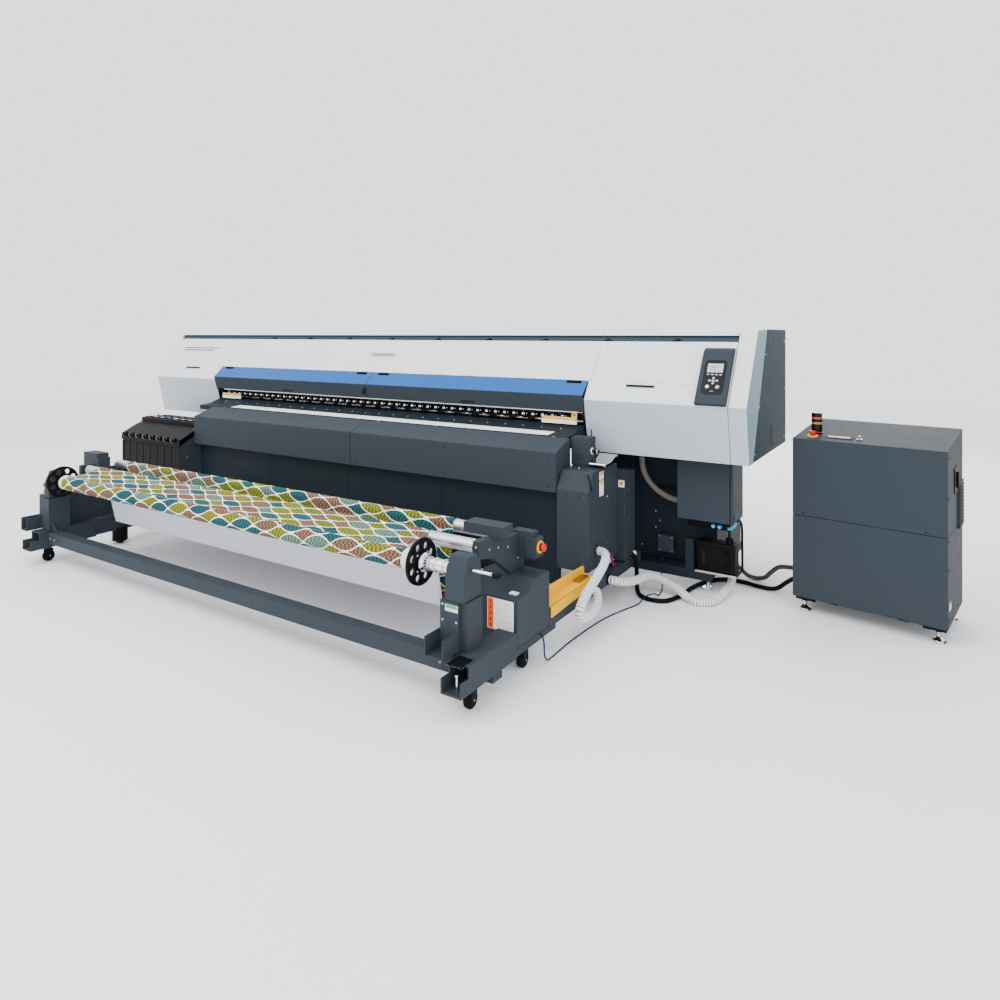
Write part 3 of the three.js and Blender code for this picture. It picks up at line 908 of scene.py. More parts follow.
@dataclass
class Hose:
    """One hose or cable that lies along its route, with ribs if it is corrugated."""

    node: str
    finish: Finish
    diameter: float
    points: Sequence[Point]
    rib: float = 0.0
    depth: float = 0.0
    stiffness: str = "medium"
    lay: str = "loose"
    free: bool = True

    def build(self) -> bpy.types.Object:
        clearance, per_rib = 0.0003, 6
        line = smooth_route([[v * MM for v in p] for p in self.points], self.diameter / 2 + clearance)
        step = self.rib / per_rib if self.rib else max(0.006, self.diameter / 3)
        line = even_steps(line, step)
        outer = self.diameter / 2
        radii = [outer] * len(line)
        if self.rib:
            wave = [0.5 + 0.5 * math.cos(2 * math.pi * i / per_rib) for i in range(len(line))]
            radii = [outer - self.depth * (1 - w**0.6) for w in wave]
        sides = 20 if self.diameter > 0.02 else 12
        bm = tube_mesh(line, radii, sides)
        # Faces in the troughs between the ribs of the white hose get the darker copy as painted shade.
        grooved = self.finish is Finish.HOSE
        if grooved:
            bm.faces.index_update()
            for face in bm.faces:
                face.material_index = int(face.index // sides % per_rib in (2, 3))
        finishes = [self.finish, Finish.GROOVE] if grooved else [self.finish]
        piece = mesh_piece(f"{self.node}_sheath", bm, finishes, "root")
        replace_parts(piece, self.node)
        route_length(line)
        return piece


@dataclass
class Routes:
    """Every hose and cable; their routes are in millimetres, from one socket to the next."""

    front_hose: Route = (
        (1570.8, -8, 356), (1582, -8, 356), (1594, -8, 356), (1628, -20, 350), (1654, -70, 330),
        (1674, -180, 302), (1686, -330, 262), (1692, -440, 226), (1694, -492, 184), (1692, -480, 146),
        (1688, -410, 118), (1682, -320, 112), (1672, -232, 126), (1658, -184, 158), (1640, -168, 176),
        (1628, -168, 176), (1616.8, -168, 176),
    )
    rear_hose: Route = (
        (1616.8, 60, 172), (1630, 60, 172), (1644, 60, 172), (1690, 96, 160), (1715, 240, 130),
        (1728, 380, 116), (1760, 462, 98), (1830, 470, 76), (1910, 436, 62), (1985, 396, 40),
        (2060, 376, 25.5), (2128, 420, 25), (2152, 520, 25), (2156, 640, 26), (2156, 770, 30),
        (2148, 860, 62), (2124, 900, 92), (2100, 908, 104), (2088, 908, 106), (2075.8, 908, 106),
    )
    power: Route = (
        (1620.6, 400, 236), (1628, 400, 236), (1636, 400, 234), (1658, 396, 200), (1668, 388, 120),
        (1676, 370, 50), (1700, 336, 18), (1744, 300, 14.5), (1810, 284, 14.5), (1880, 310, 14.5),
        (1922, 400, 14.5), (1942, 520, 14.5), (1956, 640, 14.5), (1984, 750, 14.5), (2040, 850, 14.5),
        (2120, 905, 14.5), (2210, 905, 14.5), (2300, 882, 14.5), (2360, 872, 14.5), (2420, 876, 24),
        (2474, 890, 66), (2524, 901, 102), (2560, 900.2, 115), (2578, 897.7, 116), (2596, 895.2, 116),
    )
    control: Route = (
        (2075.8, 1010, 112), (2088, 1010, 112), (2100, 1010, 110), (2150, 1014, 74), (2210, 1022, 26),
        (2270, 1030, 15.5), (2320, 1020, 34), (2360, 1006, 78), (2410, 992, 124), (2480, 984, 138),
        (2540, 977, 139), (2571, 971.2, 139), (2588, 968.8, 139), (2605, 966.4, 139),
    )
    network: Route = (
        (1616.6, -790, 150), (1622, -790, 150), (1628, -790, 149), (1640, -788, 120), (1642, -780, 40),
        (1640, -740, 6), (1638, -660, 4.3), (1636, -540, 4.3), (1640, -400, 4.3), (1650, -250, 4.3),
        (1668, -100, 4.3), (1700, 30, 4.3), (1738, 150, 4.3), (1756, 200, 10), (1774, 250, 37),
        (1792, 300, 40), (1802, 350, 30), (1806, 400, 6), (1794, 500, 4.3), (1772, 570, 6),
        (1764, 586, 60), (1760, 590, 130), (1758, 620, 178), (1758, 700, 190), (1758, 740, 190),
        (1758, 759.4, 190),
    )
    drain: Route = (
        (1606, 640, 880.4), (1606, 640, 868), (1606, 640, 852), (1612, 640, 760), (1640, 640, 690),
        (1700, 640, 625), (1780, 640, 580), (1850, 640, 562), (1870, 640, 561), (1880, 640, 561),
        (1892.4, 640, 561),
    )

    def build(self) -> None:
        """Makes them all."""
        Hose("hose_front", Finish.HOSE, 0.050, self.front_hose, 0.015, 0.0034, "stiff").build()
        Hose("hose_rear", Finish.HOSE, 0.050, self.rear_hose, 0.015, 0.0034, "stiff").build()
        Hose("power_cable", Finish.CABLE, 0.028, self.power, stiffness="stiff").build()
        Hose("control_conduit", Finish.CONDUIT, 0.030, self.control, 0.010, 0.0022, "stiff").build()
        Hose("network_cable", Finish.NETWORK, 0.008, self.network).build()
        Hose("drain_hose", Finish.BEIGE, 0.038, self.drain, stiffness="stiff", lay="hanging").build()


# ---- small fittings -------------------------------------------------------------------------


# radii of screw heads, in metres
FINE, SMALL, PLAIN, LARGE = 0.0035, 0.0045, 0.005, 0.006


def screw(form: Form, at: Matrix, radius: float = PLAIN, finish: Finish = Finish.STEEL) -> None:
    """Adds a domed screw head with a cross slot; local Z points out of the surface."""
    high = radius * 0.55
    form.turned([(radius, -0.001), (radius, high * 0.4), (radius * 0.6, high)], at, finish, 14)
    arm, slim = radius * 0.6, radius * 0.13
    form.box((-arm, -slim, high), (arm, slim, high + 0.0003), at, Finish.BLACK)
    form.box((-slim, -arm, high), (slim, arm, high + 0.0003), at, Finish.BLACK)


def plate(form: Form, size: tuple[float, float], at: Matrix, thick: float, finish: Finish) -> None:
    """Adds a thin plate centred on the local origin; local Z points out of the surface."""
    across, up = size[0] / 2, size[1] / 2
    form.box((-across, -up, 0.0), (across, up, thick), at, finish)


def notice(form: Form, size: tuple[float, float], at: Matrix, band: Finish, share: float = 0.35) -> None:
    """Adds a plain two-colour plate with a coloured band over a pale field and grey lines."""
    wide, tall = size
    plate(form, size, at, 0.0008, Finish.PAPER)
    head = tall * share
    plate(form, (wide * 0.94, head), at @ place((0, (tall - head) / 2 - tall * 0.03, 0.0008)), 0.0003, band)
    rows = 4
    for i in range(rows):
        low = -tall / 2 + (tall - head) * (i + 0.8) / (rows + 0.6)
        spot = at @ place((0, low, 0.0008))
        plate(form, (wide * 0.78, tall * 0.025), spot, 0.0002, Finish.SHADE)


def facing(direction: str, at: Point) -> Matrix:
    """A placing whose local Z points along a world direction and whose local Y points up.

    Args:
        direction: "front" (-Y), "right" (+X), "left" (-X), "rear" (+Y) or "up" (+Z).
        at: the origin.

    Returns:
        The matrix.
    """
    turns = {"front": 0.0, "right": 90.0, "rear": 180.0, "left": -90.0}
    if direction == "up":
        return place(at)
    return place(at, turns[direction], 90.0)


# which corner of a box, and which axis, gives the level of its side
SIDES = {"front": (0, 1), "right": (1, 0), "rear": (1, 1), "left": (0, 0)}


def screws(
    form: Form,
    direction: str,
    on: str | float,
    spots: Iterable[tuple[float, float]],
    radius: float = PLAIN,
    finish: Finish = Finish.STEEL,
) -> None:
    """Adds screws on an upright side.

    Args:
        form: the piece they are added to.
        direction: the way the side faces, as for facing.
        on: the node whose side it is, or the side's level along that axis.
        spots: each screw's place along the side and its height.
        radius: radius of the heads.
        finish: their finish.
    """
    corner, axis = SIDES[direction]
    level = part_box(on)[corner][axis] if isinstance(on, str) else on
    for along, z in spots:
        at = (along, level, z) if axis else (level, along, z)
        screw(form, facing(direction, at), radius, finish)


def stop_ring(form: Form, hole: float, thick: float, at: Matrix, sides: int = 28) -> None:
    """Adds the yellow ring round a stop button, with a chamfer at its outer edge."""
    rim, chamfer = 0.031, 0.002
    top = thick + chamfer
    ring = [(hole, 0.0), (rim, 0.0), (rim, thick), (rim - chamfer, top), (hole, top), (hole, 0.0)]
    form.turned(ring, at, Finish.AMBER, sides)


# ---- main housing ---------------------------------------------------------------------------


@dataclass
class Housing:
    """The sloped box over the whole width: covers, end caps, grip recess and underside."""

    ridge: tuple[float, float] = (0.280, 1.223)
    roof_edge: tuple[float, float] = (0.587, 1.675)
    seam_z: float = 1.343
    seam_x: float = 1.360
    recess: tuple[float, float] = (1.598, 1.642)
    clip_first: float = -1.976
    clip_pitch: float = 0.482
    handle_right: tuple[float, float] = (1.617, 1.795)
    handle_left: tuple[float, float] = (-3.030, -2.820)

    def slope_y(self, z: float) -> float:
        """Front-to-back place of the sloping face at a height."""
        rise = (z - self.ridge[1]) / (self.roof_edge[1] - self.ridge[1])
        return self.ridge[0] + rise * (self.roof_edge[0] - self.ridge[0])

    def on_slope(self, x: float, z: float, out: float = 0.0) -> Matrix:
        """A placing on the sloping face; local Z points out of it and local Y up it."""
        lean = math.atan2(self.roof_edge[1] - self.ridge[1], self.roof_edge[0] - self.ridge[0])
        at = Vector((x, self.slope_y(z) - out * math.sin(lean), z + out * math.cos(lean)))
        return place(at, tilt_x=math.degrees(lean))

    def covers(self) -> None:
        """Dresses the sheet-metal covers."""
        low, high = self.recess

        def in_recess(centre: Vector, normal: Vector) -> bool:
            """Whether a face lies in the grip recess."""
            return low < centre.z < high and centre.y > self.slope_y(centre.z) + 0.004

        cuts = (("x", self.seam_x),)
        # Faces inside the grip recess get painted shade.
        Skin("upper_cover", Finish.LIGHT, 0.0022, cuts, zones=((Finish.RECESS, in_recess),)).build()
        # Lower front faces that turn down get the darker copy of the light coat as painted shade.
        skirt = Finish.LOW, lambda centre, normal: normal.y < -0.5 and normal.z < 0.0
        Skin("left_front_housing", Finish.LIGHT, zones=(skirt,)).build()
        Skin("right_front_housing", Finish.LIGHT, zones=(skirt,)).build()
        Skin("left_end_panel", Finish.LIGHT, 0.004).build()
        Skin("right_side_panel", Finish.NAVY, 0.004).build()
        Skin("housing_floor", Finish.SHADE).build()
        # The end cap's right side gets teal grey: painted shade on the light grey cover.
        outer = Finish.CAP, lambda centre, normal: normal.x > 0.6
        Skin("right_end_cap", Finish.LIGHT, 0.005, zones=(outer, skirt)).build()
        rear = ("x", -1.0), ("x", 0.6)
        Skin("housing_rear_wall", Finish.LIGHT, cuts=rear).build()

    def recess_clips(self) -> None:
        """Black catches along the grip recess."""
        form = Form("recess_clips", Finish.BLACK, bevel=0.0015)
        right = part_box("upper_cover")[1].x
        x = self.clip_first
        while x < right:
            at = self.on_slope(x, 1.607, -0.010)
            form.box((-0.030, -0.004, -0.006), (0.030, 0.006, 0.008), at)
            form.box((-0.012, 0.004, -0.008), (0.012, 0.020, 0.002), at)
            x += self.clip_pitch
        form.done()

    def handles(self) -> None:
        """Slotted pulls under the horizontal seam."""
        form = Form("slot_handles", Finish.BLACK, bevel=0.001)
        for left, right in (self.handle_right, self.handle_left):
            middle = (left + right) / 2
            half = (right - left) / 2
            at = self.on_slope(middle, 1.322, 0.0)
            form.box((-half, -0.007, -0.003), (half, 0.008, 0.0008), at)
            form.box((-half - 0.002, -0.012, -0.003), (half + 0.002, -0.0075, 0.0045), at, Finish.CAP)
            form.box((-half - 0.005, -0.012, -0.003), (-half, 0.010, 0.003), at, Finish.CAP)
            form.box((half, -0.012, -0.003), (half + 0.005, 0.010, 0.003), at, Finish.CAP)
        form.done()

    def marks(self) -> None:
        """Two plain badges in place of names."""
        form = Form("plain_badges", Finish.KEY_GREY, bevel=0.0006)
        at = self.on_slope(-0.54, 1.480)
        plate(form, (0.26, 0.034), at, 0.003, Finish.KEY_GREY)
        plate(form, (0.21, 0.006), at @ place((0, 0.004, 0.003)), 0.0008, Finish.SHADE)
        plate(form, (0.12, 0.004), at @ place((-0.045, -0.008, 0.003)), 0.0008, Finish.RED)
        at = self.on_slope(-2.97, 1.498)
        plate(form, (0.56, 0.012), at @ place((0, 0.016, 0)), 0.0015, Finish.CAP)
        plate(form, (0.48, 0.012), at @ place((-0.04, -0.010, 0)), 0.0015, Finish.BLUE)
        form.done()

    def fasteners(self) -> None:
        """Screws on the front, the end cap, the side and the rear."""
        form = Form("housing_screws", Finish.STEEL, bevel=0.0)
        spots = ((0.50, 0.93), (0.80, 1.52), (1.40, 0.93), (1.40, 1.60), (0.62, 1.20), (1.40, 1.27))
        screws(form, "right", "right_side_panel", spots, LARGE)
        spots = ((0.40, 0.93), (0.50, 1.30), (0.66, 1.60))
        screws(form, "right", "right_end_cap", spots, finish=Finish.KEY_GREY)
        spots = ((0.42, 0.93), (0.62, 1.60), (1.40, 0.93), (1.40, 1.60), (0.9, 0.93), (0.9, 1.62))
        screws(form, "left", "left_end_panel", spots, LARGE)
        grid = [(-3.3 + i * 0.683, z) for i in range(9) for z in (0.93, 1.30, 1.62)]
        screws(form, "rear", "housing_rear_wall", grid, LARGE)
        for x in (-3.36, -2.60, 1.40, 2.02):
            screw(form, self.on_slope(x, 1.30), 0.004, Finish.KEY_GREY)
        form.done()

    def vents(self) -> None:
        """Louvres on the dark side panel and across the rear wall."""
        form = Form("side_louvres", Finish.SHADE, bevel=0.0008)
        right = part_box("right_side_panel")[1].x
        for column in range(2):
            for i in range(14):
                at = (right, 0.955 + 0.058 * column, 0.915 + 0.0105 * i)
                form.box((-0.022, -0.0025, -0.001), (0.022, 0.0025, 0.0025), facing("right", at))
        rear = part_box("housing_rear_wall")[1].y
        for bank in (-2.6, -0.3, 1.6):
            for i in range(16):
                at = (bank, rear, 1.02 + 0.020 * i)
                form.box((-0.16, -0.004, -0.001), (0.16, 0.004, 0.0025), facing("rear", at))
        form.done()

    def notice_plate(self) -> None:
        """Small plain plate at the low edge of the right front cover."""
        form = Form("edge_notice", Finish.PAPER, bevel=0.0003)
        at = self.low_face(1.432, 0.905)
        plate(form, (0.100, 0.034), at, 0.0008, Finish.PAPER)
        plate(form, (0.046, 0.028), at @ place((0.025, 0, 0.0008)), 0.0003, Finish.LABEL_YELLOW)
        plate(form, (0.030, 0.020), at @ place((-0.028, 0, 0.0008)), 0.0003, Finish.BLACK)
        form.done()

    def low_face(self, x: float, z: float) -> Matrix:
        """A placing on the lower front face, which leans back towards the floor."""
        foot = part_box("right_front_housing")[0].z
        back = 0.378
        share = (z - foot) / (self.ridge[1] - foot)
        lean = math.atan2(back - self.ridge[0], self.ridge[1] - foot)
        return place((x, back + (self.ridge[0] - back) * share, z), tilt_x=90 + math.degrees(lean))

    def underside(self) -> None:
        """Perforated trays under the floor of the housing."""
        form = Form("floor_trays", Finish.SHADE, bevel=0.0015)
        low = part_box("housing_floor")[0].z
        for left, right in ((-3.30, -2.62), (1.66, 1.88)):
            form.box((left, 0.45, low - 0.001), (right, 0.56, low + 0.004))
            for i in range(6):
                x = left + (right - left) * (i + 0.5) / 6
                form.box((x - 0.03, 0.47, low - 0.0018), (x + 0.03, 0.54, low), finish=Finish.BLACK)
        form.done()

    def build(self) -> None:
        """Makes the whole housing."""
        self.covers()
        self.recess_clips()
        self.handles()
        self.marks()
        self.fasteners()
        self.vents()
        self.notice_plate()
        self.underside()


# ---- windows --------------------------------------------------------------------------------


@dataclass
class Windows:
    """Two lifting windows: blue glass above a dark sill, with hinges and finger grips."""

    fold_z: float = 1.252
    sill_lean: float = 76.0
    hinge_x: tuple[tuple[str, float, float], ...] = (
        ("left_window", -2.359, -0.672),
        ("right_window", -0.435, 1.244),
    )
    grip_x: tuple[tuple[str, float], ...] = (("left_window", -1.487), ("right_window", 0.420))

    def build(self) -> None:
        """Makes both windows."""
        glass = Finish.BLUE, lambda centre, normal: centre.z > self.fold_z and abs(normal.x) < 0.5
        house = Housing()
        for node in ("window_left", "window_right"):
            Skin(node, Finish.SLATE, 0.0018, zones=(glass,)).build()
        for body, *places in self.hinge_x:
            form = Form(f"{body}_hinges", Finish.BLACK, body, 0.0018)
            for x in places:
                at = house.on_slope(x, house.seam_z - 0.034, 0.0)
                form.box((-0.054, -0.026, -0.001), (0.054, 0.026, 0.007), at)
                for k in range(3):
                    knuckle = at @ place((-0.035 + 0.035 * k, 0.026, 0.005), spin_y=90)
                    form.turned([(0.008, -0.015), (0.008, 0.015)], knuckle, sides=16)
                for dx in (-0.036, 0.0, 0.036):
                    screw(form, at @ place((dx, -0.008, 0.007)), SMALL, Finish.KEY_GREY)
            form.done()
        for body, x in self.grip_x:
            form = Form(f"{body}_grip", Finish.GLOSS, body, 0.0015)
            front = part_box("window_left")[0].y
            at = place((x, front + 0.0205, 1.164), tilt_x=self.sill_lean)
            form.box((-0.062, -0.008, -0.001), (0.062, 0.007, 0.0022), at)
            form.box((-0.056, -0.003, 0.0), (0.056, 0.004, 0.003), at, Finish.BLACK)
            for dx in (-0.80, 0.0, 0.80):
                for z in (1.262, 1.330):
                    screw(form, house.on_slope(x + dx, z), FINE, Finish.BLACK)
            form.done()
        form = Form("window_latch", Finish.BLACK, "left_window", 0.0015)
        lo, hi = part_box("window_left")
        at = place((hi.x - 0.016, lo.y + 0.006, 1.205), tilt_x=self.sill_lean)
        form.box((-0.010, -0.035, -0.001), (0.010, 0.040, 0.006), at)
        form.done()


# ---- print bed ------------------------------------------------------------------------------


@dataclass
class PrintBed:
    """Platen, pinch rollers with their arms, bright rail, media rulers, carriage and its rail."""

    arms: int = 48
    first: float = -2.300
    last: float = 1.260

    def rollers(self) -> None:
        """Rubber rollers on a bare shaft, with sprung arms over them."""
        y, z = middle("pinch_rollers").yz
        bare = Finish.STEEL, lambda centre, normal: math.hypot(centre.y - y, centre.z - z) < 0.0095
        Skin("pinch_rollers", Finish.RUBBER, 0.0015, zones=(bare,)).build()
        arms = Form("pinch_arms", Finish.BLACK, bevel=0.0012)
        pitch = (self.last - self.first) / (self.arms - 1)
        for i in range(self.arms):
            x = self.first + i * pitch
            arms.box((x - 0.013, y - 0.006, z + 0.020), (x + 0.013, y + 0.050, z + 0.052))
            arms.box((x - 0.0125, y - 0.032, z + 0.004), (x + 0.0125, y - 0.019, z + 0.046))
            arms.box((x - 0.011, y - 0.0345, z + 0.026), (x + 0.011, y - 0.030, z + 0.040),
                     finish=Finish.CHROME)
            pin = place((x + 0.026, y - 0.028, z + 0.034), tilt_x=90)
            arms.turned([(0.006, -0.012), (0.006, 0.004), (0.004, 0.006)], pin, Finish.CHROME, 12)
        arms.done()

    def rails(self) -> None:
        """Bright rail over the arms, dark trough under them and the pale lip at the front."""
        lo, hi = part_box("platen")
        form = Form("bed_rail", Finish.ALUMINIUM, bevel=0.0025)
        form.box((lo.x + 0.02, 0.318, 1.128), (hi.x - 0.01, 0.352, 1.140))
        form.box((lo.x + 0.02, 0.352, 1.115), (hi.x - 0.01, 0.362, 1.160), finish=Finish.SHADE)
        form.done()
        lip = Form("bed_lip", Finish.PAPER, bevel=0.002)
        outline = ((0.079, 1.0045), (0.079, 1.0075), (0.176, 1.0160), (0.178, 1.0130))
        lip.prism(outline, -1.975, 1.19)
        lip.done()
        dots = Form("bed_screws", Finish.KEY_GREY, bevel=0.0)
        for i in range(25):
            screw(dots, place((-2.25 + i * 0.144, 0.232, 1.0315), tilt_x=20), SMALL, Finish.KEY_GREY)
        dots.done()

    def rulers(self) -> None:
        """Plain yellow and white width scales at both ends."""
        form = Form("width_rulers", Finish.PAPER, bevel=0.0004)
        for left, right in ((-2.36, -2.10), (1.04, 1.30)):
            middle = (left + right) / 2
            wide = right - left
            at = facing("front", (middle, 0.272, 1.082))
            form.box((-wide / 2, -0.024, -0.003), (wide / 2, 0.020, 0.0), at)
            form.box((-wide / 2, 0.000, 0.0), (wide / 2, 0.019, 0.0006), at, Finish.LABEL_YELLOW)
            for k in range(26):
                mark = at @ place((-wide / 2 + 0.005 + k * 0.010, -0.006, 0.0))
                form.box((-0.0004, -0.005, 0.0), (0.0004, 0.002, 0.0004), mark, Finish.BLACK)
        at = facing("front", (1.285, 0.271, 1.122))
        plate(form, (0.036, 0.034), at, 0.002, Finish.LABEL_YELLOW)
        plate(form, (0.010, 0.018), at @ place((0, 0, 0.002)), 0.0004, Finish.BLACK)
        form.done()

    def carriage(self) -> None:
        """The carriage, its head plate and its rail."""
        Skin("platen", Finish.SHADE, 0.003, cuts=(("x", -1.6), ("x", -0.55), ("x", 0.5))).build()
        Skin("print_carriage", Finish.BLACK, 0.008).build()
        Skin("carriage_beam", Finish.ALUMINIUM, 0.003).build()
        lo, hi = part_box("print_carriage")
        form = Form("carriage_details", Finish.KEY_GREY, "carriage", 0.002)
        for i in range(8):
            x = lo.x + 0.06 + i * 0.083
            form.box((x, lo.y + 0.07, hi.z), (x + 0.055, hi.y - 0.10, hi.z + 0.012))
            form.box((x + 0.012, lo.y + 0.002, lo.z + 0.06), (x + 0.043, lo.y - 0.003, lo.z + 0.12),
                     finish=Finish.SHADE)
        form.done()

    def build(self) -> None:
        """Makes the print bed."""
        self.carriage()
        self.rollers()
        self.rails()
        self.rulers()


# ---- apron and lower covers -----------------------------------------------------------------


@dataclass
class LowerCovers:
    """Apron, lower front covers, end cover, duct column and the parts on top of them."""

    seams: tuple[float, ...] = (-1.293, -0.423, 0.453)

    def seam_strips(self) -> None:
        """Flat dark strips behind the seams, painted shade that closes them to the light."""
        form = Form("seam_strips", Finish.SHADE, bevel=0.0)
        low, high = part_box("lower_cover")
        for x in self.seams:
            form.box((x - 0.02, high.y + 0.0005, low.z + 0.005), (x + 0.02, high.y + 0.003, high.z - 0.005))
        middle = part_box("apron_left")[1].x + 0.0015
        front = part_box("apron_left")[0]
        form.box((middle - 0.02, front.y + 0.0125, front.z + 0.005),
                 (middle + 0.02, front.y + 0.0145, 0.925))
        slope = [(-0.105, 0.9285), (0.058, 0.9857), (0.058, 0.983), (-0.105, 0.9258)]
        form.prism(slope, middle - 0.02, middle + 0.02)
        form.done()

    def apron(self) -> None:
        """Apron halves and the recessed panels under them."""
        Skin("apron_left", Finish.SLATE, 0.004).build()
        Skin("apron_right", Finish.SLATE, 0.004).build()
        # The recessed lower cover gets the darker slate as painted shade under the apron.
        Skin("lower_cover", Finish.SHADE, 0.002, cuts=tuple(("x", x) for x in self.seams)).build()
        self.seam_strips()
        lo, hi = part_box("apron_right")
        form = Form("apron_screws", Finish.BLACK, bevel=0.0)
        spots = [(x, z) for x in (-2.12, -1.30, -0.40, -0.28, 0.52, 1.30) for z in (0.900, 0.730)]
        screws(form, "front", lo.y, spots, SMALL, Finish.BLACK)
        columns = (*self.seams, hi.x - 0.06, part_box("lower_cover")[0].x + 0.06)
        spots = [(x + 0.030, z) for x in columns for z in (0.62, 0.20)]
        screws(form, "front", "lower_cover", spots, SMALL, Finish.BLACK)
        for i, x in enumerate((-2.05, -1.42, -0.44, -0.24, 0.30, 1.24)):
            screw(form, place((x, 0.066, hi.z)), 0.006, Finish.KEY_GREY if i % 2 else Finish.BRASS)
        form.done()
        cap = Form("apron_end", Finish.SLATE, bevel=0.003)
        outline = ((lo.y + 0.004, lo.z + 0.004), (lo.y + 0.004, 0.934), (0.062, 0.996), (0.070, 0.996),
                   (0.070, 0.81), (-0.035, 0.81), (-0.035, lo.z + 0.004))
        cap.prism(outline, hi.x - 0.001, hi.x + 0.006)
        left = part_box("apron_left")[0].x
        cap.prism(outline, left - 0.006, left + 0.001)
        screw(cap, facing("right", (hi.x + 0.006, -0.085, 0.80)), SMALL, Finish.BLACK)
        cap.done()

    def bracket(self) -> None:
        """Square housing beside the apron's end, with a plain mark and a sensor rod."""
        form = Form("bracket_block", Finish.SLATE, bevel=0.004)
        form.box((1.358, 0.078, 0.8325), (1.480, 0.175, 1.008))
        form.box((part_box("apron_right")[1].x - 0.003, 0.150, 0.840), (1.360, 0.170, 0.995))
        at = facing("front", (1.420, 0.078, 0.888))
        plate(form, (0.030, 0.030), at, 0.0012, Finish.SHADE)
        plate(form, (0.020, 0.020), at @ place((0, 0, 0.0012)), 0.0006, Finish.SLATE)
        form.turned([(0.004, 0.0), (0.004, 0.045), (0.002, 0.048)], place((1.462, 0.150, 1.006)),
                    Finish.BLACK, 12)
        form.done()
        knob = Form("clamp_knob", Finish.BLACK, bevel=0.0012)
        at = place((1.480, 0.112, 0.926), spin_y=90)
        knob.turned([(0.022, -0.002), (0.024, 0.006), (0.020, 0.012)], at, Finish.CHROME)
        knob.turned([(0.010, 0.010), (0.010, 0.020), (0.020, 0.022), (0.022, 0.044), (0.016, 0.050)], at)
        knob.done()

    def lever(self) -> None:
        """The bright pressing lever on the end cover."""
        Skin("pressure_lever", Finish.CHROME, 0.006).build()
        lo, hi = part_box("pressure_lever")
        form = Form("lever_pivots", Finish.STEEL, "lever", 0.001)
        for x in (lo.x - 0.004, hi.x + 0.004):
            form.turned([(0.009, -0.003), (0.009, 0.003)], place((x, 0.229, 0.890), spin_y=90), Finish.BRASS)
        form.done()

    def end_cover(self) -> None:
        """Tall slate box at the right end with its plates, screws, sight slot and sockets."""
        Skin("end_cover", Finish.SLATE, 0.004, cuts=(("y", 0.118),)).build()
        lo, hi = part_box("end_cover")
        side = hi.x
        form = Form("end_cover_details", Finish.BLACK, bevel=0.0008)
        notice(form, (0.060, 0.046), facing("right", (side, 0.062, 0.792)), Finish.LABEL_YELLOW, 0.5)
        notice(form, (0.060, 0.092), facing("right", (side, 0.062, 0.715)), Finish.LABEL_YELLOW, 0.2)
        tilt = place((side, -0.105, 0.775), 90, 90) @ Matrix.Rotation(math.radians(28), 4, "Z")
        form.box((-0.009, -0.062, -0.001), (0.009, 0.062, 0.003), tilt)
        form.box((-0.005, -0.056, 0.0), (0.005, 0.056, 0.0045), tilt, Finish.GLOSS)
        dark = ((0.145, 0.553), (0.145, 0.530), (0.148, 0.362), (-0.09, 0.30), (0.27, 0.60), (0.27, 0.30))
        screws(form, "right", side, dark, 0.0055, Finish.BLACK)
        screws(form, "right", side, ((0.150, 0.648), (0.150, 0.312)), 0.0055, Finish.KEY_GREY)
        spots = [(x, z) for x in (lo.x + 0.03, hi.x - 0.03) for z in (0.30, 0.69)]
        screws(form, "front", lo.y, spots, SMALL, Finish.BLACK)
        ring = [(0.028, -0.002), (0.034, 0.0), (0.034, 0.006), (0.0285, 0.010)]
        form.turned(ring, place((side, -0.008, 0.356), spin_y=90), Finish.BLACK)
        form.done()
        tips = Form("end_cover_top", Finish.BRASS, bevel=0.0008)
        for x, y in ((1.39, 0.01), (1.46, -0.02), (1.53, 0.27)):
            tips.turned([(0.006, -0.001), (0.006, 0.010), (0.0035, 0.014)], place((x, y, hi.z)), sides=12)
        tips.done()

    def duct(self) -> None:
        """Column behind the end cover with a plain plate, screws and its cable outlets."""
        Skin("duct_column", Finish.SLATE, 0.004).build()
        lo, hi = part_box("duct_column")
        form = Form("duct_details", Finish.BLACK, bevel=0.0008)
        at = facing("front", (1.596, lo.y, 0.700))
        plate(form, (0.040, 0.044), at, 0.0008, Finish.PAPER)
        rise = at @ place((0, 0.004, 0.0008))
        form.prism(((-0.012, 0.0), (0.012, 0.0), (0.012, 0.0004), (-0.012, 0.0004)), -0.014, 0.014,
                   rise, Finish.LABEL_YELLOW)
        plate(form, (0.006, 0.012), rise @ place((0, 0, 0.0004)), 0.0003, Finish.BLACK)
        screws(form, "right", hi.x, [(0.36, z) for z in (0.66, 0.47, 0.28)], SMALL, Finish.BLACK)
        for dy, finish in ((0.0, Finish.WIRE_PURPLE), (0.012, Finish.WIRE_RED), (0.024, Finish.WIRE_PURPLE)):
            route = smooth_route(((1.5705, 0.150 + dy, 0.300), (1.582, 0.158 + dy, 0.290),
                                  (1.586, 0.190 + dy, 0.220), (1.590, 0.215 + dy, 0.2055)), 0.0, 6)
            wire = tube_mesh(route, [0.0028] * len(route), 8)
            mesh_piece(f"sensor_wire_{round(dy * 1000)}", wire, [finish], "root")
        ring = [(0.017, -0.002), (0.024, 0.0), (0.024, 0.008), (0.0175, 0.014)]
        form.turned(ring, place((hi.x, 0.400, 0.236), spin_y=90), Finish.BLACK)
        form.turned([(0.012, 0.0), (0.014, 0.012), (0.010, 0.020)], place((hi.x, 0.448, 0.232), spin_y=90),
                    Finish.PAPER)
        form.done()

    def build(self) -> None:
        """Makes all the lower covers."""
        self.apron()
        self.bracket()
        self.lever()
        self.end_cover()
        self.duct()


# ---- legs and boxes under the housing -------------------------------------------------------


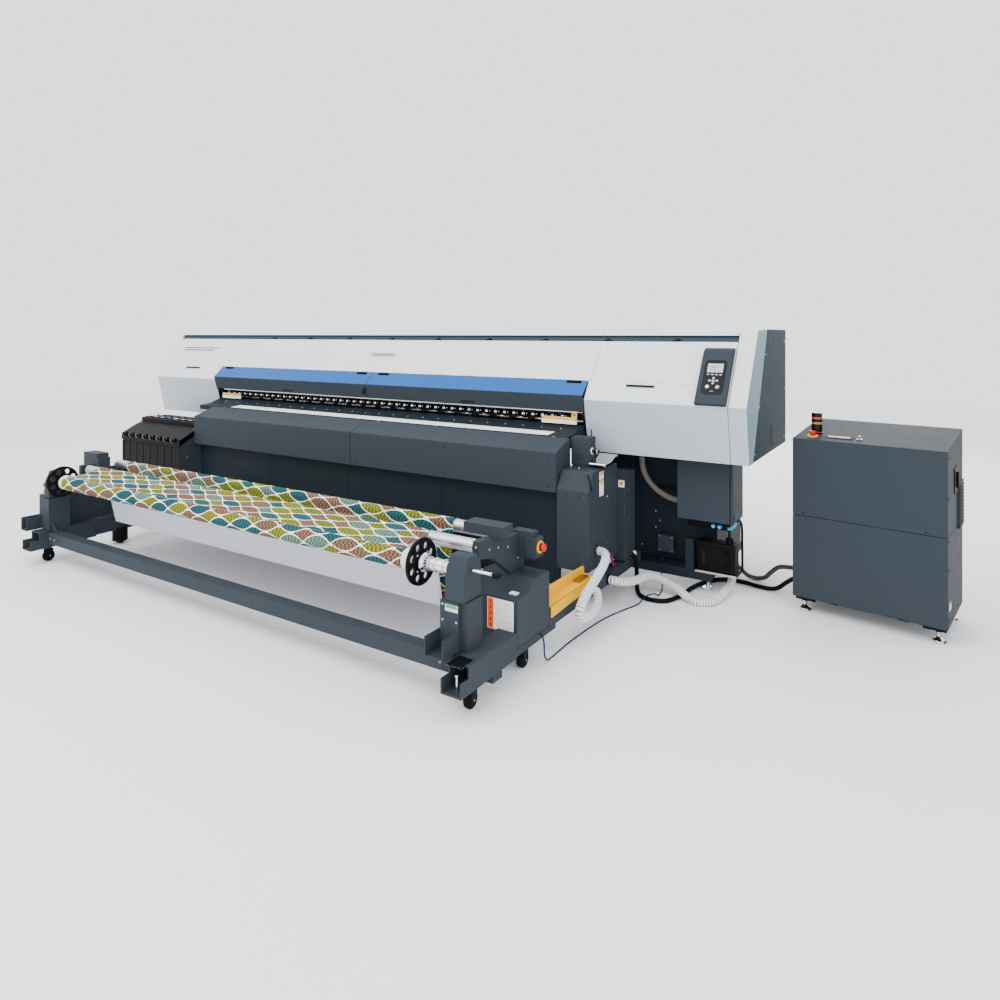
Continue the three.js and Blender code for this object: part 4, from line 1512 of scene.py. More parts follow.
@dataclass
class Legs:
    """Leg frames, electrical box, waste tank, junction box and their fittings."""

    def frames(self) -> None:
        """The two welded legs with bright screw feet."""
        screw_foot = Finish.CHROME, lambda centre, normal: centre.z < 0.0785
        for node in ("right_leg_frame", "left_leg_frame"):
            Skin(node, Finish.SHADE, 0.0025, zones=(screw_foot,)).build()
        form = Form("leg_screws", Finish.KEY_GREY, bevel=0.0)
        spots = ((1.66, 0.44), (1.69, 0.38), (1.66, 0.33), (1.56, 0.80), (1.82, 0.80), (1.56, 0.20))
        screws(form, "front", 0.7598, spots, finish=Finish.KEY_GREY)
        nut = [(0.020, 0.0), (0.020, 0.012), (0.016, 0.014)]
        for x in (2.035, -3.14):
            for y in (0.690, 1.350):
                form.turned(nut, place((x, y, 0.052)), Finish.CHROME, 6)
        form.done()

    def boxes(self) -> None:
        """Electrical box with its folded door, fittings below it, and the junction box."""
        Skin("electrical_box", Finish.SLATE, 0.005, cuts=(("x", 2.222),)).build()
        lo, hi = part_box("electrical_box")
        form = Form("box_details", Finish.BLACK, bevel=0.001)
        spots = [(y, z) for z in (lo.z + 0.04, hi.z - 0.04) for y in (lo.y + 0.05, hi.y - 0.04)]
        screws(form, "right", hi.x, spots, finish=Finish.BLACK)
        form.box((1.93, 0.605, 0.418), (2.20, 0.74, lo.z + 0.002))
        form.box((2.215, 0.52, 0.50), (2.245, 0.56, 0.54), finish=Finish.SLATE)
        form.done()
        joints = Form("push_fittings", Finish.FITTING, bevel=0.001)
        for x in (2.095, 2.135):
            at = place((x, 0.602, 0.440), tilt_x=90)
            joints.turned([(0.013, -0.004), (0.014, 0.010), (0.010, 0.016)], at)
            joints.turned([(0.006, 0.010), (0.006, 0.022)], at, Finish.PAPER, 16)
        elbow = ((2.236, 0.590, 0.484), (2.228, 0.580, 0.462), (2.212, 0.574, 0.446), (2.190, 0.572, 0.440))
        bend = tube_mesh([Vector(p) for p in elbow], [0.010, 0.0105, 0.0105, 0.009], 14)
        joints.mesh.from_mesh(self._as_mesh(bend))
        joints.done()
        junction = Form("junction_box", Finish.SLATE, bevel=0.003)
        junction.box((1.700, 0.690, 0.195), (1.806, 0.7595, 0.305))
        spots = ((1.710, 0.205), (1.796, 0.205), (1.710, 0.295), (1.796, 0.295))
        screws(junction, "front", 0.690, spots, FINE, Finish.KEY_GREY)
        gland = place((1.758, 0.690, 0.190), tilt_x=90)
        junction.turned([(0.007, 0.0), (0.009, 0.004), (0.009, 0.014)], gland, Finish.BLACK, 16)
        junction.done()

    @staticmethod
    def _as_mesh(bm: bmesh.types.BMesh) -> bpy.types.Mesh:
        """A scratch mesh of a bmesh, which is freed."""
        mesh = bpy.data.meshes.new("scratch")
        bm.to_mesh(mesh)
        bm.free()
        return mesh

    def tank(self) -> None:
        """Waste tank: a black canister with a side handle, a cap and pressed panels."""
        Skin("waste_tank", Finish.BLACK, 0.012).build()
        lo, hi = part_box("waste_tank")
        form = Form("tank_details", Finish.BLACK, bevel=0.004)
        form.box((lo.x + 0.020, lo.y - 0.006, lo.z + 0.03), (hi.x - 0.075, lo.y + 0.004, hi.z - 0.03))
        form.box((lo.x + 0.030, lo.y - 0.009, lo.z + 0.045), (lo.x + 0.055, lo.y, hi.z - 0.05),
                 finish=Finish.GLOSS)
        form.box((hi.x - 0.052, lo.y - 0.010, lo.z + 0.05), (hi.x - 0.036, lo.y + 0.002, hi.z - 0.05))
        form.box((hi.x - 0.070, lo.y - 0.010, lo.z + 0.05), (hi.x - 0.036, lo.y + 0.002, lo.z + 0.066))
        form.box((hi.x - 0.070, lo.y - 0.010, hi.z - 0.066), (hi.x - 0.036, lo.y + 0.002, hi.z - 0.05))
        form.turned([(0.024, -0.002), (0.024, 0.030), (0.020, 0.034)], place((hi.x - 0.045, 0.65, hi.z)))
        form.turned([(0.010, 0.030), (0.010, 0.080), (0.006, 0.090)], place((hi.x - 0.045, 0.65, hi.z)),
                    Finish.GLOSS, 16)
        form.done()
        riser = tube_mesh(smooth_route(
            ((2.236, 0.600, 0.484), (2.243, 0.640, 0.486), (2.246, 0.690, 0.450), (2.244, 0.715, 0.330),
             (2.244, 0.720, 0.200), (2.240, 0.735, 0.142)), 0.0, 8), [0.0075] * 41, 12)
        mesh_piece("riser_tube", riser, [Finish.CABLE], "root")
        closing = Form("rear_closing_panel", Finish.SHADE, bevel=0.003)
        closing.box((1.05, 0.758, 0.200), (1.4985, 0.770, 0.8800))
        closing.box((1.62, 0.740, 0.600), (1.885, 0.7595, 0.612))
        closing.done()
        tray = Form("tank_shelf_edge", Finish.ALUMINIUM, bevel=0.001)
        tray.box((1.978, 0.5985, 0.131), (2.236, 0.6035, 0.144))
        tray.done()

    def sockets(self) -> None:
        """Collars where the hoses and cables enter."""
        form = Form("socket_collars", Finish.BLACK, bevel=0.001)
        wide = [(0.0275, -0.010), (0.032, -0.008), (0.032, 0.006), (0.0275, 0.010)]
        slim = [(0.017, -0.006), (0.022, -0.004), (0.022, 0.004), (0.017, 0.008)]
        for x, y, z, ring in (
            (1.6168, -0.168, 0.176, wide), (1.6168, 0.060, 0.172, wide),
            (2.0758, 0.908, 0.106, wide), (2.0758, 1.010, 0.112, slim),
        ):
            form.turned(ring, place((x, y, z), spin_y=90))
        at = place((1.8904, 0.640, 0.561), spin_y=90)
        form.turned([(0.022, -0.006), (0.026, -0.002), (0.026, 0.004)], at)
        form.turned([(0.022, 0.0), (0.026, 0.004), (0.026, 0.012)], place((1.606, 0.640, 0.869)))
        for spot in ((2.5975, 0.895, 0.116), (2.6065, 0.9662, 0.139)):
            at = place(spot, Cabinet.turn, spin_y=90)
            form.turned([(0.017, -0.010), (0.022, -0.008), (0.022, 0.002)], at)
        form.done()

    def build(self) -> None:
        """Makes the legs and boxes."""
        self.frames()
        self.boxes()
        self.tank()
        self.sockets()


# ---- ink supply -----------------------------------------------------------------------------


@dataclass
class InkSupply:
    """Ink unit at the left: bank of doors, hood with eight catches and a row of colour plates."""

    catches: int = 8
    labels: tuple[Finish, ...] = (
        Finish.INK_PINK, Finish.INK_PINK, Finish.INK_CYAN, Finish.INK_BLUE, Finish.PAPER,
        Finish.AMBER, Finish.AMBER, Finish.KEY_GREY,
    )

    margin: float = 0.02

    @property
    def pitch(self) -> float:
        """Width of one ink's share of the unit."""
        lo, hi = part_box("ink_unit")
        return (hi.x - lo.x - 2 * self.margin) / self.catches

    def across(self, number: int, share: float = 0.5) -> float:
        """A place across one ink's share of the unit, from 0 at its left edge to 1."""
        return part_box("ink_unit")[0].x + self.margin + (number + share) * self.pitch

    def skins(self) -> None:
        """Dresses the unit and its hood."""
        front_and_slope = Finish.BLACK, lambda centre, normal: normal.y < -0.4
        Skin("ink_unit", Finish.SLATE, 0.004, zones=(front_and_slope,)).build()
        Skin("ink_hood", Finish.BLACK, 0.003).build()

    def doors(self) -> None:
        """One door with a grip for each ink, between two slate posts."""
        lo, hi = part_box("ink_unit")
        form = Form("ink_doors", Finish.BLACK, bevel=0.003)
        for i in range(self.catches):
            x, end = self.across(i, 0.0), self.across(i, 1.0)
            form.box((x + 0.003, lo.y - 0.004, 0.20), (end - 0.003, lo.y + 0.002, 0.665))
            form.box((x + 0.018, lo.y - 0.008, 0.40), (end - 0.018, lo.y - 0.002, 0.43), finish=Finish.GLOSS)
        for x in (lo.x, hi.x - 0.012):
            form.box((x, lo.y - 0.008, 0.16), (x + 0.012, lo.y + 0.002, 0.672), finish=Finish.SLATE)
        form.done()

    def hood_catches(self) -> None:
        """Sprung catches along the hood's edge, and the hood's screws."""
        lo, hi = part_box("ink_hood")
        form = Form("hood_catches", Finish.BLACK, "hood", 0.003)
        for i in range(self.catches):
            at = place((self.across(i), lo.y + 0.004, 0.735), tilt_x=30)
            form.box((-0.016, -0.020, -0.030), (0.016, 0.012, 0.014), at)
            form.box((-0.010, -0.034, -0.008), (0.010, -0.010, 0.026), at, Finish.GLOSS)
            form.box((-0.020, -0.006, -0.052), (-0.010, 0.008, 0.004), at)
            pin = at @ place((0, -0.018, 0.010), spin_y=90)
            form.turned([(0.006, -0.022), (0.006, 0.022)], pin, Finish.STEEL, 12)
        for x in (lo.x + 0.03, hi.x - 0.03):
            for share in (0.15, 0.85):
                y = lo.y + (hi.y - lo.y) * (0.05 + 0.9 * share)
                screw(form, place((x, y, 0.735 + 0.087 * share + 0.002), tilt_x=36), 0.004)
        form.done()

    def plates(self) -> None:
        """Row of coloured plates with their pins on top of the unit."""
        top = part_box("ink_unit")[1].z
        form = Form("ink_plates", Finish.BLACK, bevel=0.0006)
        for i, finish in enumerate(self.labels):
            x = self.across(i)
            form.box((x - 0.036, -0.050, top), (x + 0.036, 0.010, top + 0.010))
            form.box((x - 0.026, -0.046, top + 0.010), (x + 0.026, -0.012, top + 0.0112), finish=finish)
            pin = place((x, 0.060, top))
            form.turned([(0.006, 0.0), (0.006, 0.018), (0.004, 0.021)], pin, Finish.GLOSS, 14)
        form.done()

    def fittings(self) -> None:
        """Screws on both ends and four rubber feet."""
        form = Form("ink_unit_screws", Finish.STEEL, bevel=0.0)
        spots = ((-0.20, 0.20), (0.15, 0.20), (0.15, 0.80), (-0.18, 0.58), (-0.02, 0.80))
        for direction in ("right", "left"):
            screws(form, direction, "ink_unit", spots)
        form.done()
        lo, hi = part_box("ink_unit")
        feet = Form("ink_unit_feet", Finish.RUBBER, bevel=0.002)
        foot = [(0.036, 0.0), (0.036, 0.110), (0.028, 0.112), (0.028, 0.152)]
        for x in (lo.x + 0.06, hi.x - 0.06):
            for y in (lo.y + 0.06, hi.y - 0.06):
                feet.turned(foot, place((x, y, 0.0)))
        feet.done()

    def build(self) -> None:
        """Makes the whole unit."""
        self.skins()
        self.doors()
        self.hood_catches()
        self.plates()
        self.fittings()


# ---- control panel --------------------------------------------------------------------------


@dataclass
class ControlPanel:
    """Raised pod on the sloping face: rounded black key plate, display and membrane keys."""

    def build(self) -> None:
        """Makes the pod and its keys."""
        Skin("control_panel", Finish.SLATE, 0.006).build()
        house = Housing()
        lo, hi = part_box("control_panel")
        middle = (lo.x + hi.x) / 2
        face = house.on_slope(middle, 1.376, 0.0303)
        form = Form("key_plate", Finish.GLOSS, bevel=0.0010)
        self.rounded(form, (0.128, 0.236), face, 0.002, 0.020, Finish.GLOSS)
        screen = face @ place((0.0, 0.062, 0.002))
        plate(form, (0.094, 0.062), screen, 0.001, Finish.KEY_GREY)
        plate(form, (0.084, 0.052), screen @ place((0, 0, 0.001)), 0.0006, Finish.DISPLAY)
        for i in range(3):
            line = screen @ place((-0.008 + 0.006 * (i % 2), 0.014 - 0.013 * i, 0.0016))
            plate(form, (0.054 - 0.01 * i, 0.003), line, 0.0002, Finish.SHADE)
        for i in range(4):
            key = face @ place((-0.037 + 0.0247 * i, 0.016, 0.002))
            self.rounded(form, (0.016, 0.008), key, 0.0012, 0.003, Finish.KEY_GREY)
        for dx, dy in ((0, 0.018), (0, -0.018), (-0.022, 0), (0.022, 0)):
            key = face @ place((dx, -0.026 + dy, 0.002))
            form.turned([(0.0075, 0.0), (0.0075, 0.0012), (0.006, 0.0018)], key, Finish.KEY_GREY, 20)
        self.rounded(form, (0.018, 0.012), face @ place((0, -0.026, 0.002)), 0.0014, 0.004, Finish.KEY_GREY)
        for dx, finish in ((-0.030, Finish.PAPER), (0.030, Finish.INK_CYAN)):
            key = face @ place((dx, -0.068, 0.002))
            form.turned([(0.012, 0.0), (0.012, 0.001)], key, Finish.KEY_GREY, 24)
            form.turned([(0.0095, 0.0), (0.0095, 0.002), (0.007, 0.0028)], key, finish, 24)
        plate(form, (0.022, 0.003), face @ place((0, -0.098, 0.002)), 0.0004, Finish.KEY_GREY)
        for dx in (-0.080, 0.080):
            for dy in (-0.145, 0.150):
                screw(form, face @ place((dx, dy, 0.0)), 0.003, Finish.BLACK)
        form.done()

    @staticmethod
    def rounded(
        form: Form, size: tuple[float, float], at: Matrix, thick: float, corner: float, finish: Finish
    ) -> None:
        """Adds a plate with round corners.

        Args:
            form: the piece it is added to.
            size: width and height.
            at: placing of its middle; local Z points out.
            thick: its thickness.
            corner: corner radius.
            finish: its finish.
        """
        wide, tall = size[0] / 2 - corner, size[1] / 2 - corner
        rim = []
        for quarter, (sx, sy) in enumerate(((1, 1), (-1, 1), (-1, -1), (1, -1))):
            for k in range(6):
                angle = math.pi / 2 * (quarter + k / 5)
                rim.append((sx * wide + corner * math.cos(angle), sy * tall + corner * math.sin(angle)))
        count = len(rim)
        points = [at @ Vector((x, y, z)) for z in (0.0, thick) for x, y in rim]
        faces = [tuple(reversed(range(count))), tuple(range(count, 2 * count))]
        faces += [(i, (i + 1) % count, (i + 1) % count + count, i + count) for i in range(count)]
        form.add(points, faces, finish)


# ---- take-up unit ---------------------------------------------------------------------------


@dataclass
class Web:
    """The printed cloth: off the printer, round the rollers and the dancer bar, onto the roll."""

    clearance: float = 0.002
    thickness: float = 0.0012
    columns: int = 90
    fixed_z: float = 0.674
    kept: float = 0.72

    def path(self) -> list[tuple[Vector, float]]:
        """Middle line of the cloth as (y, z) points, each with how slack it is there.

        Returns:
            Pairs of a point (0, y, z) and a looseness from 0 on a roller to 1 in mid span.
        """
        rounds = []
        for node, side in (
            ("guide_roller_rear", 1), ("dancer_bar", -1), ("guide_roller_front", 1), ("takeup_roll", 1),
        ):
            lo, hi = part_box(node)
            y, z = middle(node).yz
            rounds.append((y, z, (hi.z - lo.z) / 2 + self.clearance, side))
        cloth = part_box("fabric_web")
        last = (cloth[1].y, 0.330, 0.0, 1)
        line: list[tuple[Vector, float]] = [(Vector((0, last[0], last[1])), 0.0)]
        for i, (cy, cz, radius, side) in enumerate(rounds):
            arrive = self._heading(last, rounds[i]) - side * math.pi / 2
            if i + 1 < len(rounds):
                leave = self._heading(rounds[i], rounds[i + 1]) - side * math.pi / 2
            else:
                leave = arrive + math.radians(10)
            while side * (leave - arrive) < 0:
                leave += side * 2 * math.pi
            touch = Vector((0, cy + radius * math.cos(arrive), cz + radius * math.sin(arrive)))
            start = line[-1][0]
            spans = max(2, round((touch - start).length / 0.022))
            line += [(start.lerp(touch, k / spans), math.sin(math.pi * k / spans)) for k in range(1, spans)]
            steps = max(3, round(abs(leave - arrive) / math.radians(7)))
            for k in range(steps + 1):
                angle = arrive + (leave - arrive) * k / steps
                line.append((Vector((0, cy + radius * math.cos(angle), cz + radius * math.sin(angle))), 0.0))
            last = rounds[i]
        return line

    @staticmethod
    def _heading(a: tuple[float, ...], b: tuple[float, ...]) -> float:
        """Direction of the tangent line from one round to the next."""
        across = b[3] * b[2] - a[3] * a[2]
        away = math.hypot(b[0] - a[0], b[1] - a[1])
        return math.atan2(b[1] - a[1], b[0] - a[0]) - math.asin(across / away)

    def build(self) -> None:
        """Makes the cloth, slightly wavy in its free spans, and its print."""
        lo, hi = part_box("fabric_web")
        line = self.path()
        bm = bmesh.new()
        ink = bm.loops.layers.uv.new("print")
        run = [0.0]
        for (p, _), (q, _) in zip(line, line[1:]):
            run.append(run[-1] + (q - p).length)
        grid = []
        for i, (point, loose) in enumerate(line):
            before, after = line[max(i - 1, 0)][0], line[min(i + 1, len(line) - 1)][0]
            along = (after - before).normalized()
            out = Vector((0, along.z, -along.y))
            row = []
            for k in range(self.columns + 1):
                x = lo.x + (hi.x - lo.x) * k / self.columns
                wave = noise.noise(Vector((x * 3.1, run[i] * 0.9, 4.0))) * 0.0045
                wave += noise.noise(Vector((x * 11.0, run[i] * 2.0, 9.0))) * 0.0012
                edge = math.exp(-min(x - lo.x, hi.x - x) / 0.03) * 0.004
                offset = out * (wave - edge) * loose
                row.append(bm.verts.new((x, point.y + offset.y, point.z + offset.z)))
            grid.append(row)
        for i in range(len(grid) - 1):
            for k in range(self.columns):
                corners = ((i, k), (i, k + 1), (i + 1, k + 1), (i + 1, k))
                face = bm.faces.new([grid[a][b] for a, b in corners])
                for loop, (a, b) in zip(face.loops, corners):
                    loop[ink].uv = (lo.x + (hi.x - lo.x) * b / self.columns, -run[a])
        piece = mesh_piece("printed_web", bm, [Finish.REVERSE, Finish.CLOTH], "root")
        piece.modifiers.remove(piece.modifiers["flats"])
        thick = piece.modifiers.new("thick", "SOLIDIFY")
        thick.thickness = self.thickness
        thick.offset = 0.0
        thick.material_offset = 1
        thick.material_offset_rim = 0
        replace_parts(piece, "fabric_web")
        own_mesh(piece)


@dataclass
class TakeUpRoll:
    """Take-up shaft with the wound cloth on its card core, and the two flanges."""

    layers: int = 5
    ends: tuple[float, float] = (-2.025, 1.205)
    sides: int = 48
    columns: int = 40

    def _profile(self, radius: float) -> tuple[list[tuple[float, float]], int]:
        """Outline of the wound cloth, uneven at its ends.

        Args:
            radius: radius of the full roll.

        Returns:
            Pairs of a radius and a place along the shaft, and how many of them are one end's rims.
        """
        left, right = self.ends
        draw = random.Random(5)
        rims = [(0.0425, 0.0)]
        for i in range(self.layers):
            rims.append((0.0435 + 0.0013 * i, draw.uniform(0.0, 0.004)))
        rims.append((radius - 0.0006, 0.0))
        profile = [(r, left + d) for r, d in rims]
        profile += [(radius, left + (right - left) * (k + 0.5) / self.columns) for k in range(self.columns)]
        profile += [(r, right - d) for r, d in reversed(rims)]
        return profile, len(rims)

    def cloth(self) -> None:
        """The wound cloth, printed outside and plain at its ends."""
        lo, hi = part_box("takeup_roll")
        y, z = middle("takeup_roll").yz
        radius = (hi.z - lo.z) / 2
        profile, rims = self._profile(radius)
        wound = bmesh.new()
        ink = wound.loops.layers.uv.new("print")
        rings = []
        for r, x in profile:
            ring = []
            for k in range(self.sides):
                angle = 2 * math.pi * k / self.sides
                lift = 0.0007 * noise.noise(Vector((x * 4, angle * 2, 0))) if r == radius else 0.0
                far = r + lift
                ring.append(wound.verts.new((x, y + far * math.cos(angle), z + far * math.sin(angle))))
            rings.append(ring)
        turn = 2 * math.pi * radius / self.sides
        for i in range(len(rings) - 1):
            for k in range(self.sides):
                corners = ((i, k), (i, k + 1), (i + 1, k + 1), (i + 1, k))
                face = wound.faces.new([rings[a][b % self.sides] for a, b in corners])
                for loop, (a, b) in zip(face.loops, corners):
                    loop[ink].uv = (profile[a][1], b * turn + 0.4)
                face.material_index = int(not rims <= i < len(rings) - rims - 1)
        bmesh.ops.recalc_face_normals(wound, faces=wound.faces)
        mesh_piece("wound_cloth", wound, [Finish.CLOTH, Finish.REVERSE], "roll")

    def shaft(self) -> None:
        """The shaft, the card core's two ends and the clamping rings."""
        lo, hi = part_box("takeup_roll")
        left, right = self.ends
        y, z = middle("takeup_roll").yz
        at = place((0, y, z), spin_y=90)
        form = Form("takeup_shaft", Finish.CHROME, "roll", 0.0015)
        bar = [(0.024, lo.x), (0.030, lo.x + 0.006), (0.030, hi.x - 0.006), (0.024, hi.x)]
        form.turned(bar, at, sides=40)
        for a, b in ((left - 0.022, left + 0.004), (right - 0.004, right + 0.020)):
            core = [(0.031, a), (0.0418, a), (0.0420, a + 0.001), (0.0420, b), (0.031, b)]
            form.turned(core, at, Finish.CARD, 40)
        for x in (-2.128, 1.30, 1.34, 1.39):
            clamp = [(0.030, x), (0.0335, x + 0.001), (0.0335, x + 0.010), (0.030, x + 0.011)]
            form.turned(clamp, at, Finish.ALUMINIUM, 40)
        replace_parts(form.done(), "takeup_roll")

    def flanges(self) -> None:
        """Both flanges with their bolted hubs."""
        y, z = middle("takeup_roll").yz
        profile = [(0.0305, 0.0), (0.044, 0.0), (0.044, 0.004), (0.0335, 0.014), (0.0305, 0.014)]
        for node, out in (("flange_right", 1), ("flange_left", -1)):
            Skin(node, Finish.BLACK, 0.0018).build()
            lo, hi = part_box(node)
            face = hi.x if out > 0 else lo.x
            hub = Form(f"{node}_hub", Finish.CHROME, "roll", 0.0012)
            turn = place((face - 0.001 * out, y, z), spin_y=90 * out)
            hub.turned(profile, turn, sides=40)
            for k in range(4):
                angle = math.radians(45 + 90 * k)
                spot = place((0.052 * math.cos(angle), 0.052 * math.sin(angle), -0.010))
                screw(hub, turn @ spot, LARGE)
            hub.done()

    def build(self) -> None:
        """Makes the roll and its flanges."""
        self.cloth()
        self.shaft()
        self.flanges()


@dataclass
class TakeUpFrame:
    """Rails, cross beam, columns, motor cover, brackets, rollers, buttons and casters."""

    def skins(self) -> None:
        """Dresses the folded and welded parts."""
        for node, width in (
            ("rail_right", 0.0025), ("rail_left", 0.0025), ("cross_beam", 0.006), ("column_right", 0.0025),
            ("side_plate_left", 0.0025), ("motor_cover", 0.004), ("shaft_block_right", 0.005),
            ("shaft_block_left", 0.005), ("roller_bracket_right", 0.003), ("roller_bracket_left", 0.003),
        ):
            Skin(node, Finish.SLATE, width).build()
        Skin("stop_button", Finish.RED, 0.0025).build()
        Skin("dancer_bar", Finish.BLACK, 0.002).build()
        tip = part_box("lock_lever")[1].x - 0.036
        knob = Finish.BLACK, lambda centre, normal: centre.x > tip
        Skin("lock_lever", Finish.CHROME, 0.002, zones=(knob,)).build()
        for node in ("guide_roller_front", "guide_roller_rear"):
            y, z = middle(node).yz

            def end(centre: Vector, normal: Vector, y: float = y, z: float = z) -> bool:
                """Whether a face is on an end of the roller."""
                return abs(normal.x) > 0.5 or math.hypot(centre.y - y, centre.z - z) < 0.02

            Skin(node, Finish.ALUMINIUM, 0.002, zones=((Finish.STEEL, end),)).build()

    def casters(self) -> None:
        """Twin-tread wheels with hubs and forks."""
        for side in ("right", "left"):
            for end in ("front", "rear"):
                node = f"caster_{end}_{side}"
                lo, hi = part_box(node)
                x, y, z = (lo + hi) / 2
                radius, half = (hi.z - lo.z) / 2, (hi.x - lo.x) / 2
                wheel = Form(f"{node}_wheel", Finish.RUBBER, f"wheel_{end}_{side}", 0.0015)
                tread = [(radius * 0.62, -half), (radius * 0.9, -half), (radius, -half * 0.6),
                         (radius, -half * 0.12), (radius * 0.96, 0.0), (radius, half * 0.12),
                         (radius, half * 0.6), (radius * 0.9, half), (radius * 0.62, half)]
                at = place((x, y, z), spin_y=90)
                wheel.turned(tread, at, sides=40)
                hub = [(radius * 0.2, -half - 0.0015), (radius * 0.58, -half - 0.001),
                       (radius * 0.58, half + 0.001), (radius * 0.2, half + 0.0015)]
                wheel.turned(hub, at, Finish.BLACK, 40)
                for k in range(5):
                    angle = 2 * math.pi * k / 5
                    spot = place((0, radius * 0.4 * math.cos(angle), radius * 0.4 * math.sin(angle)))
                    rib = place((x, y, z)) @ spot @ place((0, 0, 0), spin_y=90)
                    wheel.turned([(0.004, -half - 0.002), (0.004, half + 0.002)], rib, Finish.BLACK, 12)
                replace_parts(wheel.done(), node)
                fork = Form(f"{node}_fork", Finish.BLACK, "root", 0.002)
                for sign in (-1, 1):
                    cheek = ((y - 0.020, z - 0.008), (y + 0.020, z - 0.008), (y + 0.026, z + 0.046),
                             (y - 0.026, z + 0.046))
                    x0 = x + sign * (half + 0.0035)
                    fork.prism(cheek, x0, x0 + sign * 0.003)
                reach = half + 0.0065
                fork.box((x - reach, y - 0.026, z + 0.043), (x + reach, y + 0.026, z + 0.050))
                fork.turned([(0.006, -half - 0.009), (0.006, half + 0.009)], at, Finish.STEEL, 16)
                fork.done()

    def duct(self) -> None:
        """Yellow cover that carries the hoses along the right rail."""
        form = Form("yellow_duct", Finish.YELLOW, bevel=0.003)
        upper = ((-0.676, 0.2455), (-0.676, 0.300), (-0.668, 0.312), (-0.150, 0.300), (-0.140, 0.288),
                 (-0.140, 0.2455))
        form.prism(upper, 1.545, 1.551)
        form.box((1.545, -0.676, 0.2455), (1.622, -0.140, 0.2515))
        skirt = ((-0.672, 0.190), (-0.672, 0.2515), (-0.144, 0.2515), (-0.144, 0.206))
        form.prism(skirt, 1.6175, 1.6225)
        form.box((1.560, -0.300, 0.2515), (1.600, -0.180, 0.262), finish=Finish.BRASS)
        screws(form, "right", 1.6225, [(y, 0.228) for y in (-0.60, -0.41, -0.22)])
        form.done()

    def motor_cover(self) -> None:
        """Warning plate, mark and screws of the motor cover."""
        lo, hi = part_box("motor_cover")
        form = Form("motor_cover_details", Finish.BLACK, bevel=0.0008)
        at = facing("front", (1.520, lo.y, 0.296))
        plate(form, (0.150, 0.150), at, 0.0008, Finish.PAPER)
        plate(form, (0.034, 0.146), at @ place((-0.056, 0.0, 0.0008)), 0.0003, Finish.LABEL_ORANGE)
        for i in range(5):
            sign = at @ place((-0.056, 0.056 - 0.028 * i, 0.0011))
            form.turned([(0.008, 0.0), (0.002, 0.0004)], sign, Finish.SHADE, 3)
            for k in range(2):
                line = sign @ place((0.072, 0.004 - 0.009 * k, -0.0003))
                plate(form, (0.092, 0.0018), line, 0.0002, Finish.KEY_GREY)
        spots = [(x, z) for x in (lo.x + 0.02, hi.x - 0.02) for z in (0.20, 0.37)]
        screws(form, "front", lo.y, spots, SMALL, Finish.BLACK)
        screws(form, "right", hi.x, ((-0.98, 0.20), (-0.70, 0.20)), SMALL, Finish.BLACK)
        form.box((1.54, -0.955, 0.386), (1.58, -0.925, 0.392), finish=Finish.PAPER)
        form.done()

    def column(self) -> None:
        """Plate, bolts, foot plate and jack screw of the right column."""
        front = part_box("column_right")[0].y + 0.113
        form = Form("column_details", Finish.BLACK, bevel=0.0008)
        # The notice's band uses the glowing lamp green, so this plate gives a faint painted glow though it
        # is no lamp.
        notice(form, (0.070, 0.030), facing("front", (1.462, front, 0.420)), Finish.LAMP_GREEN, 0.5)
        screws(form, "front", front, [(x, z) for z in (0.43, 0.36) for x in (1.412, 1.488)], LARGE)
        form.box((1.520, -1.44, 0.2305), (1.602, -1.34, 0.2325))
        jack = [(0.008, 0.0), (0.008, 0.062), (0.013, 0.064), (0.013, 0.070), (0.008, 0.072)]
        form.turned(jack, place((1.561, -1.412, 0.118)), Finish.CHROME, 16)
        form.done()

    def stop_collar(self) -> None:
        """Yellow ring and black seat of the stop button."""
        lo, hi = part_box("stop_button")
        y, z = middle("stop_button").yz
        at = place((1.5863, y, z), spin_y=90)
        form = Form("stop_collar", Finish.AMBER, bevel=0.0012)
        stop_ring(form, (hi.y - lo.y) / 2 + 0.001, 0.0045, at)
        form.turned([(0.034, -0.004), (0.034, 0.0005)], at, Finish.BLACK)
        form.done()

    def knobs(self) -> None:
        """Two clamping knobs on the left shaft block."""
        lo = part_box("shaft_block_left")[0]
        form = Form("left_block_knobs", Finish.STEEL, bevel=0.001)
        knob = [(0.006, 0.0), (0.006, 0.020), (0.013, 0.022), (0.013, 0.034), (0.008, 0.038)]
        for z in (0.50, 0.55):
            form.turned(knob, place((lo.x, lo.y + 0.02, z), spin_y=-90))
        form.done()

    def gussets(self) -> None:
        """Three-cornered plates over both ends of the cross beam, with their bolts."""
        form = Form("beam_gussets", Finish.SLATE, bevel=0.002)
        lo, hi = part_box("cross_beam")
        foot, top = 0.2205, 0.285
        for x, sign in ((lo.x, 1), (hi.x, -1)):
            reach = x + sign * 0.075
            points = []
            for y in (lo.y + 0.030, lo.y + 0.036):
                points += [(x, y, foot), (reach, y, foot), (x, y, top)]
            faces = [(0, 1, 2), (5, 4, 3), (0, 3, 4, 1), (1, 4, 5, 2), (2, 5, 3, 0)]
            form.add(points, faces, None)
            screws(form, "front", lo.y, [(x + sign * dx, 0.18) for dx in (0.03, 0.09)], 0.007)
        form.done()

    def bolts(self) -> None:
        """Bolts of the roller brackets and of the left side plate."""
        form = Form("bracket_bolts", Finish.STEEL, bevel=0.0008)
        screws(form, "front", "roller_bracket_right", ((1.458, 0.64),), LARGE)
        spots = ((-1.03, 0.61), (-0.95, 0.60), (-0.86, 0.58), (-0.76, 0.50))
        screws(form, "right", 1.475, spots, LARGE)
        spots = ((-1.28, 0.27), (-1.10, 0.27), (-0.90, 0.27), (-0.74, 0.27), (-1.10, 0.42), (-0.80, 0.42))
        screws(form, "left", -2.225, spots, LARGE)
        form.done()

